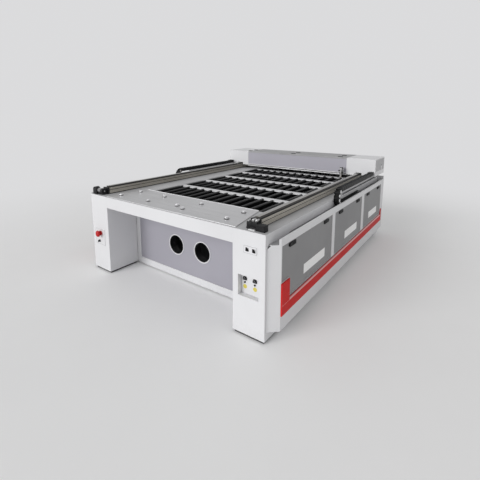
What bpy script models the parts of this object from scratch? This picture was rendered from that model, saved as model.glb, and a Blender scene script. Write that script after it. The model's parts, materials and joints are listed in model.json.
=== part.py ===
"""Flat-bed fibre laser cutting machine: a welded base with two front legs, a slat bed, a travelling
gantry on two rails, cable chains in side trays and drop-down service doors.

Metres, +Z up, +X to the machine's right seen from its front, the front faces -Y. The origin is under
the middle of the whole machine, on the floor. Depths along Y are written as distances behind the
legs' front face, and depth() turns them into the frame's Y.
"""

import math

import bmesh
import bpy
from mathutils import Matrix, Vector

# Fits
seat = 0.0003
running = 0.0004

# Body
body_width = 2.0
body_length = 2.80
deck_height = 0.758
cabinet_proud = 0.070
cabinet_front = 0.082
cabinet_corner = 0.016
corner_notch_run = 0.025
corner_notch_height = 0.036

# Front portal
leg_width = 0.26
leg_depth = 0.318
beam_height = 0.105
foot_height = 0.018
foot_inset = 0.010

# Side deck boxes and the slat pit between them
deck_thickness = 0.070
left_deck_width = 0.392
right_deck_width = 0.289
beam_tail = 0.117
first_row = 0.455
row_count = 6
crossbar_width = 0.080
crossbar_height = 0.050
crossbar_drop = 0.022
slat_count = 13
slat_edge = 0.0355
slat_width = 0.026
slat_height = 0.045
slat_proud = 0.002
slat_overlap = 0.045

# Bolted plate before the slats
cover_thickness = 0.006
cover_lead = 0.012
cover_front_inset = 0.245
cover_rear_inset = 0.328
bolt_edge = 0.038
bolt_shift = 0.036
bolt_front = 0.115
bolt_rear = 0.120
bolt_head = 0.0135
bolt_height = 0.013
bolt_washer = 0.016
spare_bolt = (0.100, 0.030)

# Rear frame
rear_thickness = 0.035
base_height = 0.083
base_depth = 0.200
base_inset = 0.040

# Recessed duct wall
frame_thickness = 0.025
frame_border = 0.056
frame_foot = 0.012
frame_sill = 0.066
frame_head = 0.053
panel_thickness = 0.016
panel_setback = 0.006
duct_radius = 0.093
duct_spacing = 0.320
duct_height = 0.327
collar_wall = 0.0035
collar_rim = 0.0045
collar_length = 0.080

# Slag hopper
hopper_gap = 0.005
hopper_wall = 0.004

# Side cabinets
sheet = 0.012
fold = 0.004
tray_drop = 0.073
lip_height = 0.038
door_bottom = 0.287
door_head = 0.013
door_gap = 0.002
door_setback = 0.004
door_thickness = 0.010
door_skin = 0.003
door_rim = 0.008
door_lengths = (0.893, 0.800, 0.735)
door_posts = (0.065, 0.085)
door_front_margin = 0.010
door_rear_margin = 0.095
partition_thickness = 0.006
hinge_pin = 0.003
hinge_reach = 0.006
hinge_inset = 0.003
hinge_rise = 0.005

# Door latches
latch_inset = 0.108
latch_drop = 0.022
latch_length = 0.096
latch_height = 0.028
latch_thickness = 0.009
latch_shaft = 0.006
latch_nut = 0.011
nut_thickness = 0.005

# Red trim
trim_proud = 0.010
trim_bottom = 0.190
trim_ledge = 0.262
trim_arm_top = 0.418
trim_arm_width = 0.109
trim_arm_gap = 0.003
trim_tail_top = 0.345
trim_tail_width = 0.036
trim_reach = 0.040

# Rails
rail_inset = 0.165
rail_beam_width = 0.075
rail_beam_height = 0.062
rail_groove = 0.006
rail_foot_inset = 0.006
rail_foot_height = 0.008
rail_front = 0.100
rail_setback = 0.100
stop_gap = 0.004
stop_plate = 0.016
stop_height = 0.045
guide_width = 0.034
guide_height = 0.0135
guide_waist = 0.005
guide_inset = 0.002

# Cable chains
chain_height = 0.038
chain_rise = 0.101
chain_link = 0.055
chain_notch = 0.005
chain_notch_depth = 0.003
upper_run = 0.998
lower_run = 0.628
chain_side_gap = 0.0042
shelf_sheet = 0.003
shelf_width = 0.041
shelf_lead = 0.108
shelf_drop = 0.058
shelf_ledge_rise = 0.008
shelf_ledge_width = 0.026

# Gantry
gantry_setback = 0.046
gantry_depth = 0.424
gantry_lift = 0.050
cap_width = 0.340
cap_wall = 0.003
cap_flange = 0.036
cap_rail_gap = 0.006
floor_lift = 0.042
floor_sheet = 0.006
floor_lip = 0.010
slot_height = 0.020
cover_sheet = 0.004
lid_sheet = 0.004
lid_flange = 0.017
lid_room = 0.077
tube_setback = 0.230
tube_depth = 0.100
tube_cap = 0.018
saddle_lead = 0.070
saddle_height = 0.047
saddle_overhang = 0.010
x_rail_height = 0.030
x_rail_depth = 0.008
bracket_length = 0.080
bracket_rise = 0.007

# Carriage and laser head
head_margin = 0.040
carriage_width = 0.100
carriage_depth = 0.050
carriage_gap = 0.014
carriage_lip = 0.020
carriage_brow = 0.022
arm_width = 0.050
arm_thickness = 0.009
arm_gap = 0.0055
arm_reach = 0.060
arm_plate = 0.008
plate_drop = 0.012
slide_plate = 0.006
slide_width = 0.040
head_radius = 0.018
head_lift = 0.032
head_drop = 0.005
nozzle_gap = 0.012
nozzle_radius = 0.004

# Controls on the front legs
button_inset = 0.130
button_height = 0.383
button_radius = 0.031
button_proud = 0.048
button_stem = 0.012
button_travel_room = 0.018
button_ring = 0.021
ring_height = 0.006
key_inset = 0.113
key_height = 0.303
key_radius = 0.012
key_stem = 0.008
plate_thickness = 0.003
plate_inset = (0.046, 0.200)
plate_margin = (0.035, 0.039)
port_plate_inset = (0.063, 0.167)
port_plate_drop = (0.099, 0.151)
port_size = 0.026
port_insets = (0.086, 0.139)
port_depth = 0.012
recess_inset = (0.049, 0.215)
recess_height = (0.292, 0.442)
recess_depth = 0.045
socket_insets = (0.1025, 0.184)
socket_size = (0.026, 0.022)
socket_proud = 0.006
socket_drop = 0.038
switch_drop = 0.067
switch_radius = 0.005

# Units behind the right doors
source_length = 0.480
source_width = 0.210
source_height = 0.230
source_inset = 0.065
source_setback = 0.225
handle_height = 0.110
handle_reach = 0.026
handle_bar = 0.012
drive_plate_margin = 0.037
drive_plate_foot = 0.047
drive_plate_head = 0.068
drive_heights = (0.230, 0.230, 0.200, 0.160)
drive_width = 0.095
drive_depth = 0.102
drive_inset = 0.040
drive_drop = 0.060

# Values that follow
half = body_width / 2
face = half + cabinet_proud
front_face = -(body_length + button_proud) / 2 + button_proud
leg_inner = half - leg_width
beam_bottom = deck_height - beam_height
deck_bottom = deck_height - deck_thickness
rear_front = body_length - rear_thickness
pit_front = leg_depth + beam_tail
pit_left = left_deck_width - half
pit_right = half - right_deck_width
row_pitch = (rear_front - pit_front - first_row) / (row_count - 1)
slat_pitch = (pit_right - pit_left - 2 * slat_edge) / (slat_count - 1)
slat_top = deck_height + slat_proud
crossbar_top = deck_height - crossbar_drop
crossbar_bottom = crossbar_top - crossbar_height
frame_rear = leg_depth + frame_thickness
hopper_half_width = leg_inner - hopper_gap
tray_floor = deck_height - tray_drop
lip_top = tray_floor + lip_height
door_top = tray_floor - door_head
door_face = face - door_setback
hinge_x = door_face - hinge_inset
hinge_z = door_bottom + door_gap + hinge_rise
bay_wall = hopper_half_width + seat
rail_rear = body_length - rail_setback
rail_top = deck_height + rail_beam_height
guide_bottom = rail_top + seat
guide_top = guide_bottom + guide_height
rail_centre = half - rail_inset + rail_beam_width / 2
gantry_rear = body_length - gantry_setback
gantry_front = gantry_rear - gantry_depth
gantry_bottom = deck_height + gantry_lift
cap_inner = face - cap_width
floor_bottom = deck_height + floor_lift
floor_top = floor_bottom + floor_sheet
slot_top = floor_top + slot_height
carriage_bottom = slot_top + carriage_gap
x_rail_bottom = carriage_bottom + carriage_lip
carriage_top = x_rail_bottom + x_rail_height + carriage_brow
tube_front = gantry_front + tube_setback
tube_top = carriage_top + tube_cap
lid_under = tube_top + lid_room
gantry_top = lid_under + lid_sheet
saddle_front = gantry_front + saddle_lead
saddle_top = guide_top + saddle_height
cover_front = gantry_front + cover_sheet - 0.001
chain_width = cabinet_proud - sheet - 2 * chain_side_gap
chain_bend = gantry_front - bracket_length - upper_run
chain_fixed_end = chain_bend + lower_run
chain_low = tray_floor + seat
chain_top = deck_height + chain_rise
chain_high = chain_top - chain_height
bend_centre = (chain_low + chain_top) / 2
bend_outer = (chain_top - chain_low) / 2
bend_inner = bend_outer - chain_height
shelf_front = chain_bend + shelf_lead
shelf_bottom = deck_height - shelf_drop
shelf_ledge = deck_height + shelf_ledge_rise
shelf_top = chain_high - seat
head_place = cap_inner - head_margin
arm_front = gantry_front - arm_reach
plate_top = carriage_top - plate_drop
head_bottom = deck_height + head_lift
head_top = plate_top - head_drop
nozzle_tip = slat_top + nozzle_gap
button_place = (button_inset - half, button_height)
key_place = (key_inset - half, key_height)
recess_x = (half - recess_inset[1], half - recess_inset[0])


def door_spans():
    """(start, end) depth of each door. The doors share what the posts and margins leave."""
    start = cabinet_front + door_front_margin
    room = rear_front - door_rear_margin - start - sum(door_posts)
    spans = []
    for length, post in zip(door_lengths, door_posts + (0,)):
        end = start + room * length / sum(door_lengths)
        spans.append((start, end))
        start = end + post
    return spans


def depth(y):
    """Frame Y of a place y metres behind the legs' front face."""
    return front_face + y


def sided(side, a, b):
    """The span from a to b off the middle, on the right (1) or the left (-1)."""
    return tuple(sorted((side * a, side * b)))


def clear_scene():
    for obj in list(bpy.data.objects):
        bpy.data.objects.remove(obj)


def finish(name, color, roughness, metallic=0.0):
    made = bpy.data.materials.get(name) or bpy.data.materials.new(name)
    made.use_nodes = True
    shader = made.node_tree.nodes["Principled BSDF"]
    shader.inputs["Base Color"].default_value = (*color, 1)
    shader.inputs["Roughness"].default_value = roughness
    shader.inputs["Metallic"].default_value = metallic
    return made


def white():
    return finish("white_paint", (0.72, 0.72, 0.74), 0.4)


def light_gray():
    return finish("light_gray_paint", (0.38, 0.37, 0.42), 0.45)


def door_gray():
    return finish("door_gray_paint", (0.20, 0.20, 0.21), 0.45)


def red():
    return finish("red_paint", (0.45, 0.03, 0.03), 0.35)


def black():
    return finish("black_plastic", (0.015, 0.015, 0.017), 0.4)


def steel():
    return finish("bright_steel", (0.45, 0.45, 0.46), 0.3, 1.0)


def aluminium():
    return finish("aluminium", (0.33, 0.32, 0.30), 0.35, 1.0)


def slat_black():
    return finish("slat_black", (0.01, 0.01, 0.011), 0.35)


def add(name, shape, look, smooth=False):
    """Turns a bmesh into a named object with one material."""
    bmesh.ops.recalc_face_normals(shape, faces=shape.faces)
    mesh = bpy.data.meshes.new(name)
    shape.to_mesh(mesh)
    shape.free()
    if smooth:
        mesh.shade_smooth()
        mesh.set_sharp_from_angle(angle=math.radians(35))
    obj = bpy.data.objects.new(name, mesh)
    bpy.context.scene.collection.objects.link(obj)
    mesh.materials.append(look)
    return obj


def block(x, y, z):
    """A box from three spans, with y as depths."""
    shape = bmesh.new()
    bmesh.ops.create_cube(shape, size=1)
    size = Vector((x[1] - x[0], y[1] - y[0], z[1] - z[0]))
    middle = Vector((sum(x) / 2, depth(sum(y) / 2), sum(z) / 2))
    place = Matrix.Translation(middle) @ Matrix.Diagonal(size).to_4x4()
    bmesh.ops.transform(shape, matrix=place, verts=shape.verts)
    return shape


def prism(outline, axis, span):
    """Extrudes an outline along an axis. It holds (depth, z) for x, (x, z) for y and (x, depth) for z."""
    ends = {
        "x": lambda a, b, at: (at, depth(a), b),
        "y": lambda a, b, at: (a, depth(at), b),
        "z": lambda a, b, at: (a, depth(b), at),
    }[axis]
    shape = bmesh.new()
    first = shape.faces.new([shape.verts.new(ends(a, b, span[0])) for a, b in outline])
    extruded = bmesh.ops.extrude_face_region(shape, geom=[first])["geom"]
    moved = [part for part in extruded if isinstance(part, bmesh.types.BMVert)]
    shift = Vector(ends(0, 0, span[1])) - Vector(ends(0, 0, span[0]))
    bmesh.ops.translate(shape, vec=shift, verts=moved)
    return shape


def stack(levels):
    """A closed body through rectangles (z, x span, y span), bottom to top."""
    shape = bmesh.new()
    rings = []
    for z, x, y in levels:
        corners = ((x[0], y[0]), (x[1], y[0]), (x[1], y[1]), (x[0], y[1]))
        rings.append([shape.verts.new((a, depth(b), z)) for a, b in corners])
    shape.faces.new(rings[0])
    shape.faces.new(rings[-1])
    for low, high in zip(rings, rings[1:]):
        for i in range(4):
            shape.faces.new((low[i], low[(i + 1) % 4], high[(i + 1) % 4], high[i]))
    return shape


def turned(profile, place, axis, sides=32):
    """Turns (radius, distance) points about a line through place along axis. Both ends are on it."""
    shape = bmesh.new()
    points = [shape.verts.new((radius, 0, along)) for radius, along in profile]
    edges = [shape.edges.new(pair) for pair in zip(points, points[1:])]
    bmesh.ops.spin(
        shape, geom=points + edges, cent=(0, 0, 0), axis=(0, 0, 1), angle=math.tau, steps=sides, use_merge=True
    )
    bmesh.ops.remove_doubles(shape, verts=shape.verts, dist=1e-6)
    turn = Vector((0, 0, 1)).rotation_difference(Vector(axis)).to_matrix().to_4x4()
    middle = Vector((place[0], depth(place[1]), place[2]))
    bmesh.ops.transform(shape, matrix=Matrix.Translation(middle) @ turn, verts=shape.verts)
    return shape


def ring(profile, place, axis, sides=32):
    """Turns a closed outline that stays clear of the axis."""
    shape = bmesh.new()
    points = [shape.verts.new((radius, 0, along)) for radius, along in profile]
    edges = [shape.edges.new((points[i], points[(i + 1) % len(points)])) for i in range(len(points))]
    bmesh.ops.spin(
        shape, geom=points + edges, cent=(0, 0, 0), axis=(0, 0, 1), angle=math.tau, steps=sides, use_merge=True
    )
    bmesh.ops.remove_doubles(shape, verts=shape.verts, dist=1e-6)
    turn = Vector((0, 0, 1)).rotation_difference(Vector(axis)).to_matrix().to_4x4()
    middle = Vector((place[0], depth(place[1]), place[2]))
    bmesh.ops.transform(shape, matrix=Matrix.Translation(middle) @ turn, verts=shape.verts)
    return shape


def rod(radius, place, axis, length, sides=24):
    """A round bar that starts at place and runs along axis. Six sides make a hex head."""
    shape = bmesh.new()
    bmesh.ops.create_cone(shape, cap_ends=True, segments=sides, radius1=radius, radius2=radius, depth=length)
    bmesh.ops.translate(shape, vec=(0, 0, length / 2), verts=shape.verts)
    turn = Vector((0, 0, 1)).rotation_difference(Vector(axis)).to_matrix().to_4x4()
    middle = Vector((place[0], depth(place[1]), place[2]))
    bmesh.ops.transform(shape, matrix=Matrix.Translation(middle) @ turn, verts=shape.verts)
    return shape


def merged(shapes):
    """Puts several bodies in one bmesh."""
    total = bmesh.new()
    for shape in shapes:
        copy = bpy.data.meshes.new("copy")
        shape.to_mesh(copy)
        shape.free()
        total.from_mesh(copy)
        bpy.data.meshes.remove(copy)
    return total


def combine(target, shape, operation):
    """Adds a Boolean to target with a hidden helper."""
    helper = add(f"{target.name}_{operation.lower()}_{len(target.modifiers)}", shape, target.data.materials[0])
    helper.hide_render = True
    helper.display_type = "WIRE"
    step = target.modifiers.new(operation.lower(), "BOOLEAN")
    step.operation = operation
    step.object = helper
    return target


def cut(target, shape):
    return combine(target, shape, "DIFFERENCE")


def fuse(target, shape):
    return combine(target, shape, "UNION")


def rounded(obj, width, segments=2):
    step = obj.modifiers.new("rounding", "BEVEL")
    step.width = width
    step.segments = segments
    step.limit_method = "ANGLE"
    step.angle_limit = math.radians(40)
    return obj


def pivot(obj, x, y, z):
    """Puts the object's origin on its joint, with the shape left where it is. y is a depth."""
    place = Vector((x, depth(y), z))
    obj.data.transform(Matrix.Translation(-place))
    obj.location = place
    return obj


def front_portal():
    """The welded front: a deep beam over the duct wall and two box legs on inset feet."""
    outline = [
        (0, beam_bottom),
        (leg_depth - seat, beam_bottom),
        (leg_depth - seat, deck_bottom),
        (pit_front - seat, deck_bottom),
        (pit_front - seat, deck_height),
        (0, deck_height),
    ]
    add("front_beam", prism(outline, "x", (-leg_inner + seat, leg_inner - seat)), white())
    for side, name in ((-1, "left_leg"), (1, "right_leg")):
        x = sided(side, leg_inner, half)
        y = (0, leg_depth - seat)
        inset_x = (x[0] + foot_inset, x[1] - foot_inset)
        inset_y = (y[0] + foot_inset, y[1] - foot_inset)
        levels = [
            (0, inset_x, inset_y),
            (foot_height, inset_x, inset_y),
            (foot_height, x, y),
            (deck_height, x, y),
        ]
        leg = add(name, stack(levels), white())
        fit_controls(leg, side)


def fit_controls(leg, side):
    """The left leg carries the stop and key plate. The right leg has the port plate and socket recess."""
    if side < 0:
        plate_x = (plate_inset[0] - half, plate_inset[1] - half)
        plate_z = (key_height - plate_margin[0], button_height + plate_margin[1])
        fuse(leg, block(plate_x, (-plate_thickness, 0.010), plate_z))
        ring_face = -plate_thickness - ring_height
        place = (button_place[0], ring_face, button_place[1])
        fuse(leg, rod(button_ring, place, (0, 1, 0), 0.020))
        cut(leg, rod(button_stem + running, (place[0], ring_face - 0.010, place[2]), (0, 1, 0), 0.050))
        key = (key_place[0], -plate_thickness - 0.010, key_place[1])
        cut(leg, rod(key_stem + running, key, (0, 1, 0), 0.040))
        return
    plate_x = (half - port_plate_inset[1], half - port_plate_inset[0])
    plate_z = (deck_height - port_plate_drop[1], deck_height - port_plate_drop[0])
    fuse(leg, block(plate_x, (-plate_thickness, 0.010), plate_z))
    reach = port_size / 2
    z = sum(plate_z) / 2
    for inset in port_insets:
        x = half - inset
        cut(leg, block((x - reach, x + reach), (-0.010, port_depth), (z - reach, z + reach)))
    cut(leg, block(recess_x, (-0.010, recess_depth), recess_height))


def controls():
    """Mushroom stop button and key switch."""
    stem_end = 0.016
    push = button_proud - button_travel_room
    profile = [
        (0, -button_proud),
        (button_radius * 0.55, -button_proud + 0.002),
        (button_radius * 0.88, -button_proud + 0.008),
        (button_radius, -button_proud + 0.015),
        (button_radius * 0.92, -push + 0.004),
        (button_stem, -push + 0.006),
        (button_stem, stem_end),
        (0, stem_end),
    ]
    place = (button_place[0], 0, button_place[1])
    button = add("estop_button", turned(profile, place, (0, 1, 0)), red(), smooth=True)
    pivot(button, *place)
    grip = 0.014
    rim = plate_thickness + seat
    profile = [
        (0, -rim - 0.008),
        (key_radius * 0.85, -rim - 0.008),
        (key_radius, -rim - 0.006),
        (key_radius, -rim),
        (key_stem, -rim),
        (key_stem, grip),
        (0, grip),
    ]
    place = (key_place[0], 0, key_place[1])
    key = add("key_switch", turned(profile, place, (0, 1, 0), 16), black(), smooth=True)
    pivot(key, *place)
    bow_x = (place[0] - 0.002, place[0] + 0.002)
    bow_z = (place[2] - 0.010, place[2] + 0.010)
    fuse(key, block(bow_x, (-rim - 0.022, -rim - 0.006), bow_z))


def socket_panel():
    """Plate at the back of the leg's recess with two sockets and two small switches."""
    front = recess_depth - 0.004
    x = (recess_x[0] + running, recess_x[1] - running)
    z = (recess_height[0] + running, recess_height[1] - running)
    panel = add("socket_panel", block(x, (front, recess_depth - seat), z), white())
    modules = []
    wide, tall = socket_size[0] / 2, socket_size[1] / 2
    fore = front - socket_proud
    root = front + 0.002
    for inset in socket_insets:
        x = half - inset
        z = recess_height[1] - socket_drop
        modules.append(block((x - wide, x + wide), (fore, root), (z - tall, z + tall)))
        z = recess_height[1] - switch_drop
        modules.append(rod(switch_radius, (x, fore, z), (0, 1, 0), root - fore, 12))
    fuse(panel, merged(modules))


def duct_wall():
    """White frame between the legs with a grey panel and two round duct collars."""
    width = leg_inner - seat
    frame_z = (frame_foot, deck_bottom - seat)
    frame = add("duct_frame", block((-width, width), (leg_depth, frame_rear), frame_z), white())
    window_x = (-width + frame_border, width - frame_border)
    window_z = (frame_foot + frame_sill, beam_bottom - frame_head)
    cut(frame, block(window_x, (leg_depth - 0.010, frame_rear + 0.010), window_z))
    panel_front = leg_depth + panel_setback
    x = (window_x[0] + seat, window_x[1] - seat)
    z = (window_z[0] + seat, window_z[1] - seat)
    panel = add("duct_panel", block(x, (panel_front, panel_front + panel_thickness), z), light_gray())
    for side, name in ((-1, "left_duct_collar"), (1, "right_duct_collar")):
        place = (side * duct_spacing / 2, panel_front, duct_height)
        start = (place[0], panel_front - 0.010, place[2])
        cut(panel, rod(duct_radius, start, (0, 1, 0), panel_thickness + 0.020, 32))
        outer = duct_radius - 3 * seat
        inner = outer - collar_wall
        lip = duct_radius + collar_rim
        profile = [
            (inner, -0.004),
            (lip, -0.004),
            (lip, -seat),
            (outer, -seat),
            (outer, collar_length),
            (inner, collar_length),
        ]
        add(name, ring(profile, place, (0, 1, 0), 32), white(), smooth=True)


def deck():
    """Box sections along both sides of the pit, notched round the front beam."""
    for side, name, inner in ((-1, "left_deck", -pit_left), (1, "right_deck", pit_right)):
        outline = [
            (side * (leg_inner + seat), leg_depth),
            (side * half, leg_depth),
            (side * half, rear_front - seat),
            (side * inner, rear_front - seat),
            (side * inner, pit_front),
            (side * (leg_inner + seat), pit_front),
        ]
        add(name, prism(outline, "z", (deck_bottom, deck_height)), white())


def front_deck_plate():
    """Bolted cover plate in front of the slats, cut at an angle beside the rails."""
    low = deck_height + seat
    high = low + cover_thickness
    outline = [
        (cover_front_inset - half, cover_lead),
        (half - cover_front_inset, cover_lead),
        (half - cover_rear_inset, pit_front - seat),
        (cover_rear_inset - half, pit_front - seat),
    ]
    plate = add("front_deck_plate", prism(outline, "z", (low, high)), steel())
    pitch = 2 * (half - cover_rear_inset - bolt_edge) / 3
    columns = [step * pitch - bolt_shift for step in (-1.5, -0.5, 0.5, 1.5)]
    places = [(x, y) for x in columns for y in (bolt_front, pit_front - bolt_rear)]
    places.append((columns[2] - spare_bolt[0], bolt_front + spare_bolt[1]))
    sunk = low + cover_thickness / 3
    fuse(plate, merged([rod(bolt_washer, (x, y, sunk), (0, 0, 1), cover_thickness, 16) for x, y in places]))
    fuse(plate, merged([rod(bolt_head, (x, y, high + 0.001), (0, 0, 1), bolt_height, 6) for x, y in places]))


def slat_row_spans():
    """(start, end) depth of each row of slats with its crossbar."""
    edges = [pit_front]
    for row in range(row_count - 1):
        edges.append(pit_front + first_row + row * row_pitch)
    edges.append(rear_front)
    return list(zip(edges, edges[1:]))


def slat(x, y):
    """One bar with a round top and a rounded front end."""
    steps = 4
    radius = slat_width / 2
    crown = slat_top - radius
    shape = bmesh.new()

    def section(at, shrink):
        points = [(-radius * shrink, slat_top - slat_height), (radius * shrink, slat_top - slat_height)]
        for step in range(steps + 1):
            angle = math.pi * step / steps
            points.append((radius * shrink * math.cos(angle), crown + radius * shrink * math.sin(angle)))
        return [shape.verts.new((x + a, depth(at), b)) for a, b in points]

    tip = radius * 0.6
    rings = [section(y[0], 0.5), section(y[0] + tip, 1), section(y[1], 1)]
    shape.faces.new(rings[0])
    shape.faces.new(rings[-1])
    for near, far in zip(rings, rings[1:]):
        for i in range(len(near)):
            after = (i + 1) % len(near)
            shape.faces.new((near[i], near[after], far[after], far[i]))
    return shape


def slat_rows():
    """Six rows of thirteen slats, each fused with the crossbar that carries its far end."""
    x = (pit_left + seat, pit_right - seat)
    middle = sum(x) / 2
    for number, (start, end) in enumerate(slat_row_spans(), 1):
        bar = (end - crossbar_width, end - seat)
        row = add(f"slat_row_{number}", block(x, bar, (crossbar_bottom, crossbar_top)), slat_black())
        places = [middle + (i - (slat_count - 1) / 2) * slat_pitch for i in range(slat_count)]
        fuse(row, merged([slat(place, (start + seat, bar[0] + slat_overlap)) for place in places]))


def slag_hopper():
    """Folded trough under the slats."""
    wide = hopper_half_width
    inner = wide - hopper_wall
    low = base_height
    top = deck_bottom - seat
    outline = [
        (-wide, low),
        (wide, low),
        (wide, top),
        (inner, top),
        (inner, low + hopper_wall),
        (-inner, low + hopper_wall),
        (-inner, top),
        (-wide, top),
    ]
    add("slag_hopper", prism(outline, "y", (frame_rear + seat, rear_front - seat)), black())


def rear_frame():
    """Back panel on the rear base that the machine stands on."""
    x = (-face, face)
    panel = add("rear_frame", block(x, (rear_front, body_length), (base_height - 0.003, deck_height)), white())
    wide = face - base_inset
    base = ((-wide, wide), (body_length - base_depth, body_length - 0.010), (0, base_height - seat))
    fuse(panel, block(*base))


def door_outline(number, margin):
    """(depth, z) outline of a door, shrunk by margin. The first door is notched round the trim's arm."""
    start, end = door_spans()[number]
    low, high = door_bottom + margin, door_top - margin
    if number:
        return [(start + margin, low), (end - margin, low), (end - margin, high), (start + margin, high)]
    arm_end = cabinet_front + trim_arm_width + trim_arm_gap + margin
    arm_top = trim_arm_top + trim_arm_gap + margin
    return [
        (arm_end, low),
        (end - margin, low),
        (end - margin, high),
        (start + margin, high),
        (start + margin, arm_top),
        (arm_end, arm_top),
    ]


def slant(x):
    """Depth of the cabinet's slanted front at x off the middle."""
    return cabinet_corner + (x - half) / (face - half) * (cabinet_front - cabinet_corner)


def side_shell(side, name):
    """Folded cabinet side with slanted front, tray floor, lip, door openings, bottom flange and two partitions."""
    rear = rear_front - seat
    skin = [
        (side * (face - sheet), slant(face - sheet)),
        (side * face, cabinet_front),
        (side * face, rear),
        (side * (face - sheet), rear),
    ]
    shell = add(name, prism(skin, "z", (base_height, lip_top)), white())
    inner = half + seat
    close = face - sheet / 2
    behind = fold / 8
    floor_outline = [
        (side * inner, slant(inner) + fold / 2),
        (side * close, slant(close) + fold / 2),
        (side * close, rear),
        (side * bay_wall, rear),
        (side * bay_wall, frame_rear + seat),
        (side * inner, frame_rear + seat),
    ]
    tray_outline = [
        (side * inner, slant(inner) + fold / 2),
        (side * close, slant(close) + fold / 2),
        (side * close, rear),
        (side * inner, rear),
    ]
    front_outline = [
        (side * inner, slant(inner) + behind),
        (side * close, slant(close) + behind),
        (side * close, slant(close) + behind + fold * math.sqrt(2)),
        (side * inner, slant(inner) + behind + fold * math.sqrt(2)),
    ]
    folds = [
        prism(floor_outline, "z", (base_height, base_height + fold)),
        prism(tray_outline, "z", (tray_floor - fold, tray_floor)),
        prism(front_outline, "z", (base_height, tray_floor)),
    ]
    for fold_shape in folds:
        fuse(shell, fold_shape)
    cut(shell, prism(corner_cut(), "x", sided(side, half - 0.010, close - sheet)))
    spans = door_spans()
    for before, after in zip(spans, spans[1:]):
        middle = (before[1] + after[0]) / 2
        slab = (middle - partition_thickness / 2, middle + partition_thickness / 2)
        wall = block(sided(side, bay_wall, close), slab, (base_height + fold / 2, tray_floor - fold / 2))
        fuse(shell, wall)
    for number in range(len(door_lengths)):
        outline = door_outline(number, 0)
        cut(shell, prism(outline, "x", sided(side, face - sheet - 0.002, face + 0.010)))
        start, end = hinge_span(number)
        pin_hole = hinge_reach + seat
        hole = (side * hinge_x, start - pin_hole, hinge_z)
        cut(shell, rod(hinge_pin + seat, hole, (0, 1, 0), end - start + 2 * pin_hole, 8))


def corner_cut():
    """(depth, z) outline of the notch in the slanted front's top corner beside the leg."""
    rise = corner_notch_height / corner_notch_run
    over = 0.010
    return [
        (cabinet_corner - over, tray_floor - corner_notch_height - over * rise),
        (cabinet_corner + corner_notch_run + over / rise, tray_floor + over),
        (cabinet_corner - over, tray_floor + over),
    ]


def hinge_span(number):
    """Depths of a door's two bottom ends."""
    bottom = [y for y, z in door_outline(number, door_gap) if z < door_bottom + 2 * door_gap]
    return min(bottom), max(bottom)


def door(side, number, name):
    """Folded pan on two pins. It drops outward about its bottom edge."""
    outline = door_outline(number, door_gap)
    back = door_face - door_thickness
    pan = add(name, prism(outline, "x", sided(side, back, door_face)), door_gray())
    hollow = door_outline(number, door_gap + door_rim)
    cut(pan, prism(hollow, "x", sided(side, back - 0.010, door_face - door_skin)))
    start, end = hinge_span(number)
    for y in (start - hinge_reach, end - door_rim / 2):
        fuse(pan, rod(hinge_pin, (side * hinge_x, y, hinge_z), (0, 1, 0), hinge_reach + door_rim / 2, 8))
    pivot(pan, side * hinge_x, sum(door_spans()[number]) / 2, hinge_z)
    return pan


def latch_places(number):
    """Depths of a door's two latch shafts, near its outer ends."""
    start, end = door_spans()[number]
    return (start + latch_inset, end - latch_inset)


def latch_shape(side, y, toward):
    """A lever on a shaft through the door's skin, with a nut behind. toward is the lever's way along Y."""
    z = door_top - latch_drop
    radius = latch_height / 2
    far = latch_length - latch_height
    outline = []
    for step in range(9):
        angle = math.pi / 2 + math.pi * step / 8
        outline.append((y + toward * radius * math.cos(angle), z + radius * math.sin(angle)))
    outline.append((y + toward * (far + radius), z - radius))
    outline.append((y + toward * (far + radius), z + radius))
    start = door_face + seat
    lever = prism(outline, "x", sided(side, start, start + latch_thickness))
    back = door_face - door_skin - seat
    out = (side, 0, 0)
    shaft = rod(latch_shaft, (side * (back - nut_thickness / 2), y, z), out, start - back + nut_thickness, 12)
    nut = rod(latch_nut, (side * (back - nut_thickness), y, z), out, nut_thickness, 12)
    return lever, shaft, nut


def doors():
    for side, word in ((-1, "left"), (1, "right")):
        for number in range(len(door_lengths)):
            pan = door(side, number, f"{word}_door_{number + 1}")
            ends = zip(("front", "rear"), latch_places(number), (1, -1))
            for end, y, toward in ends:
                place = (y, door_top - latch_drop)
                if side > 0:
                    fit_latch(pan, side, place, toward, f"{word}_door_{number + 1}_{end}_latch")
                else:
                    fixed_latch(pan, side, place, toward)


def fit_latch(pan, side, place, toward, name):
    """A turning lever in its own hole."""
    y, z = place
    lever, shaft, nut = latch_shape(side, y, toward)
    turn = add(name, lever, black())
    fuse(turn, shaft)
    fuse(turn, nut)
    hole = rod(latch_shaft + running, (side * (door_face - 0.010), y, z), (side, 0, 0), 0.020, 12)
    cut(pan, hole)
    pivot(turn, side * door_face, y, z)


def fixed_latch(pan, side, place, toward):
    """The hidden side's lever, one piece with its door."""
    lever, shaft, nut = latch_shape(side, place[0], toward)
    nut.free()
    fuse(pan, shaft)
    fuse(pan, lever)


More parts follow.
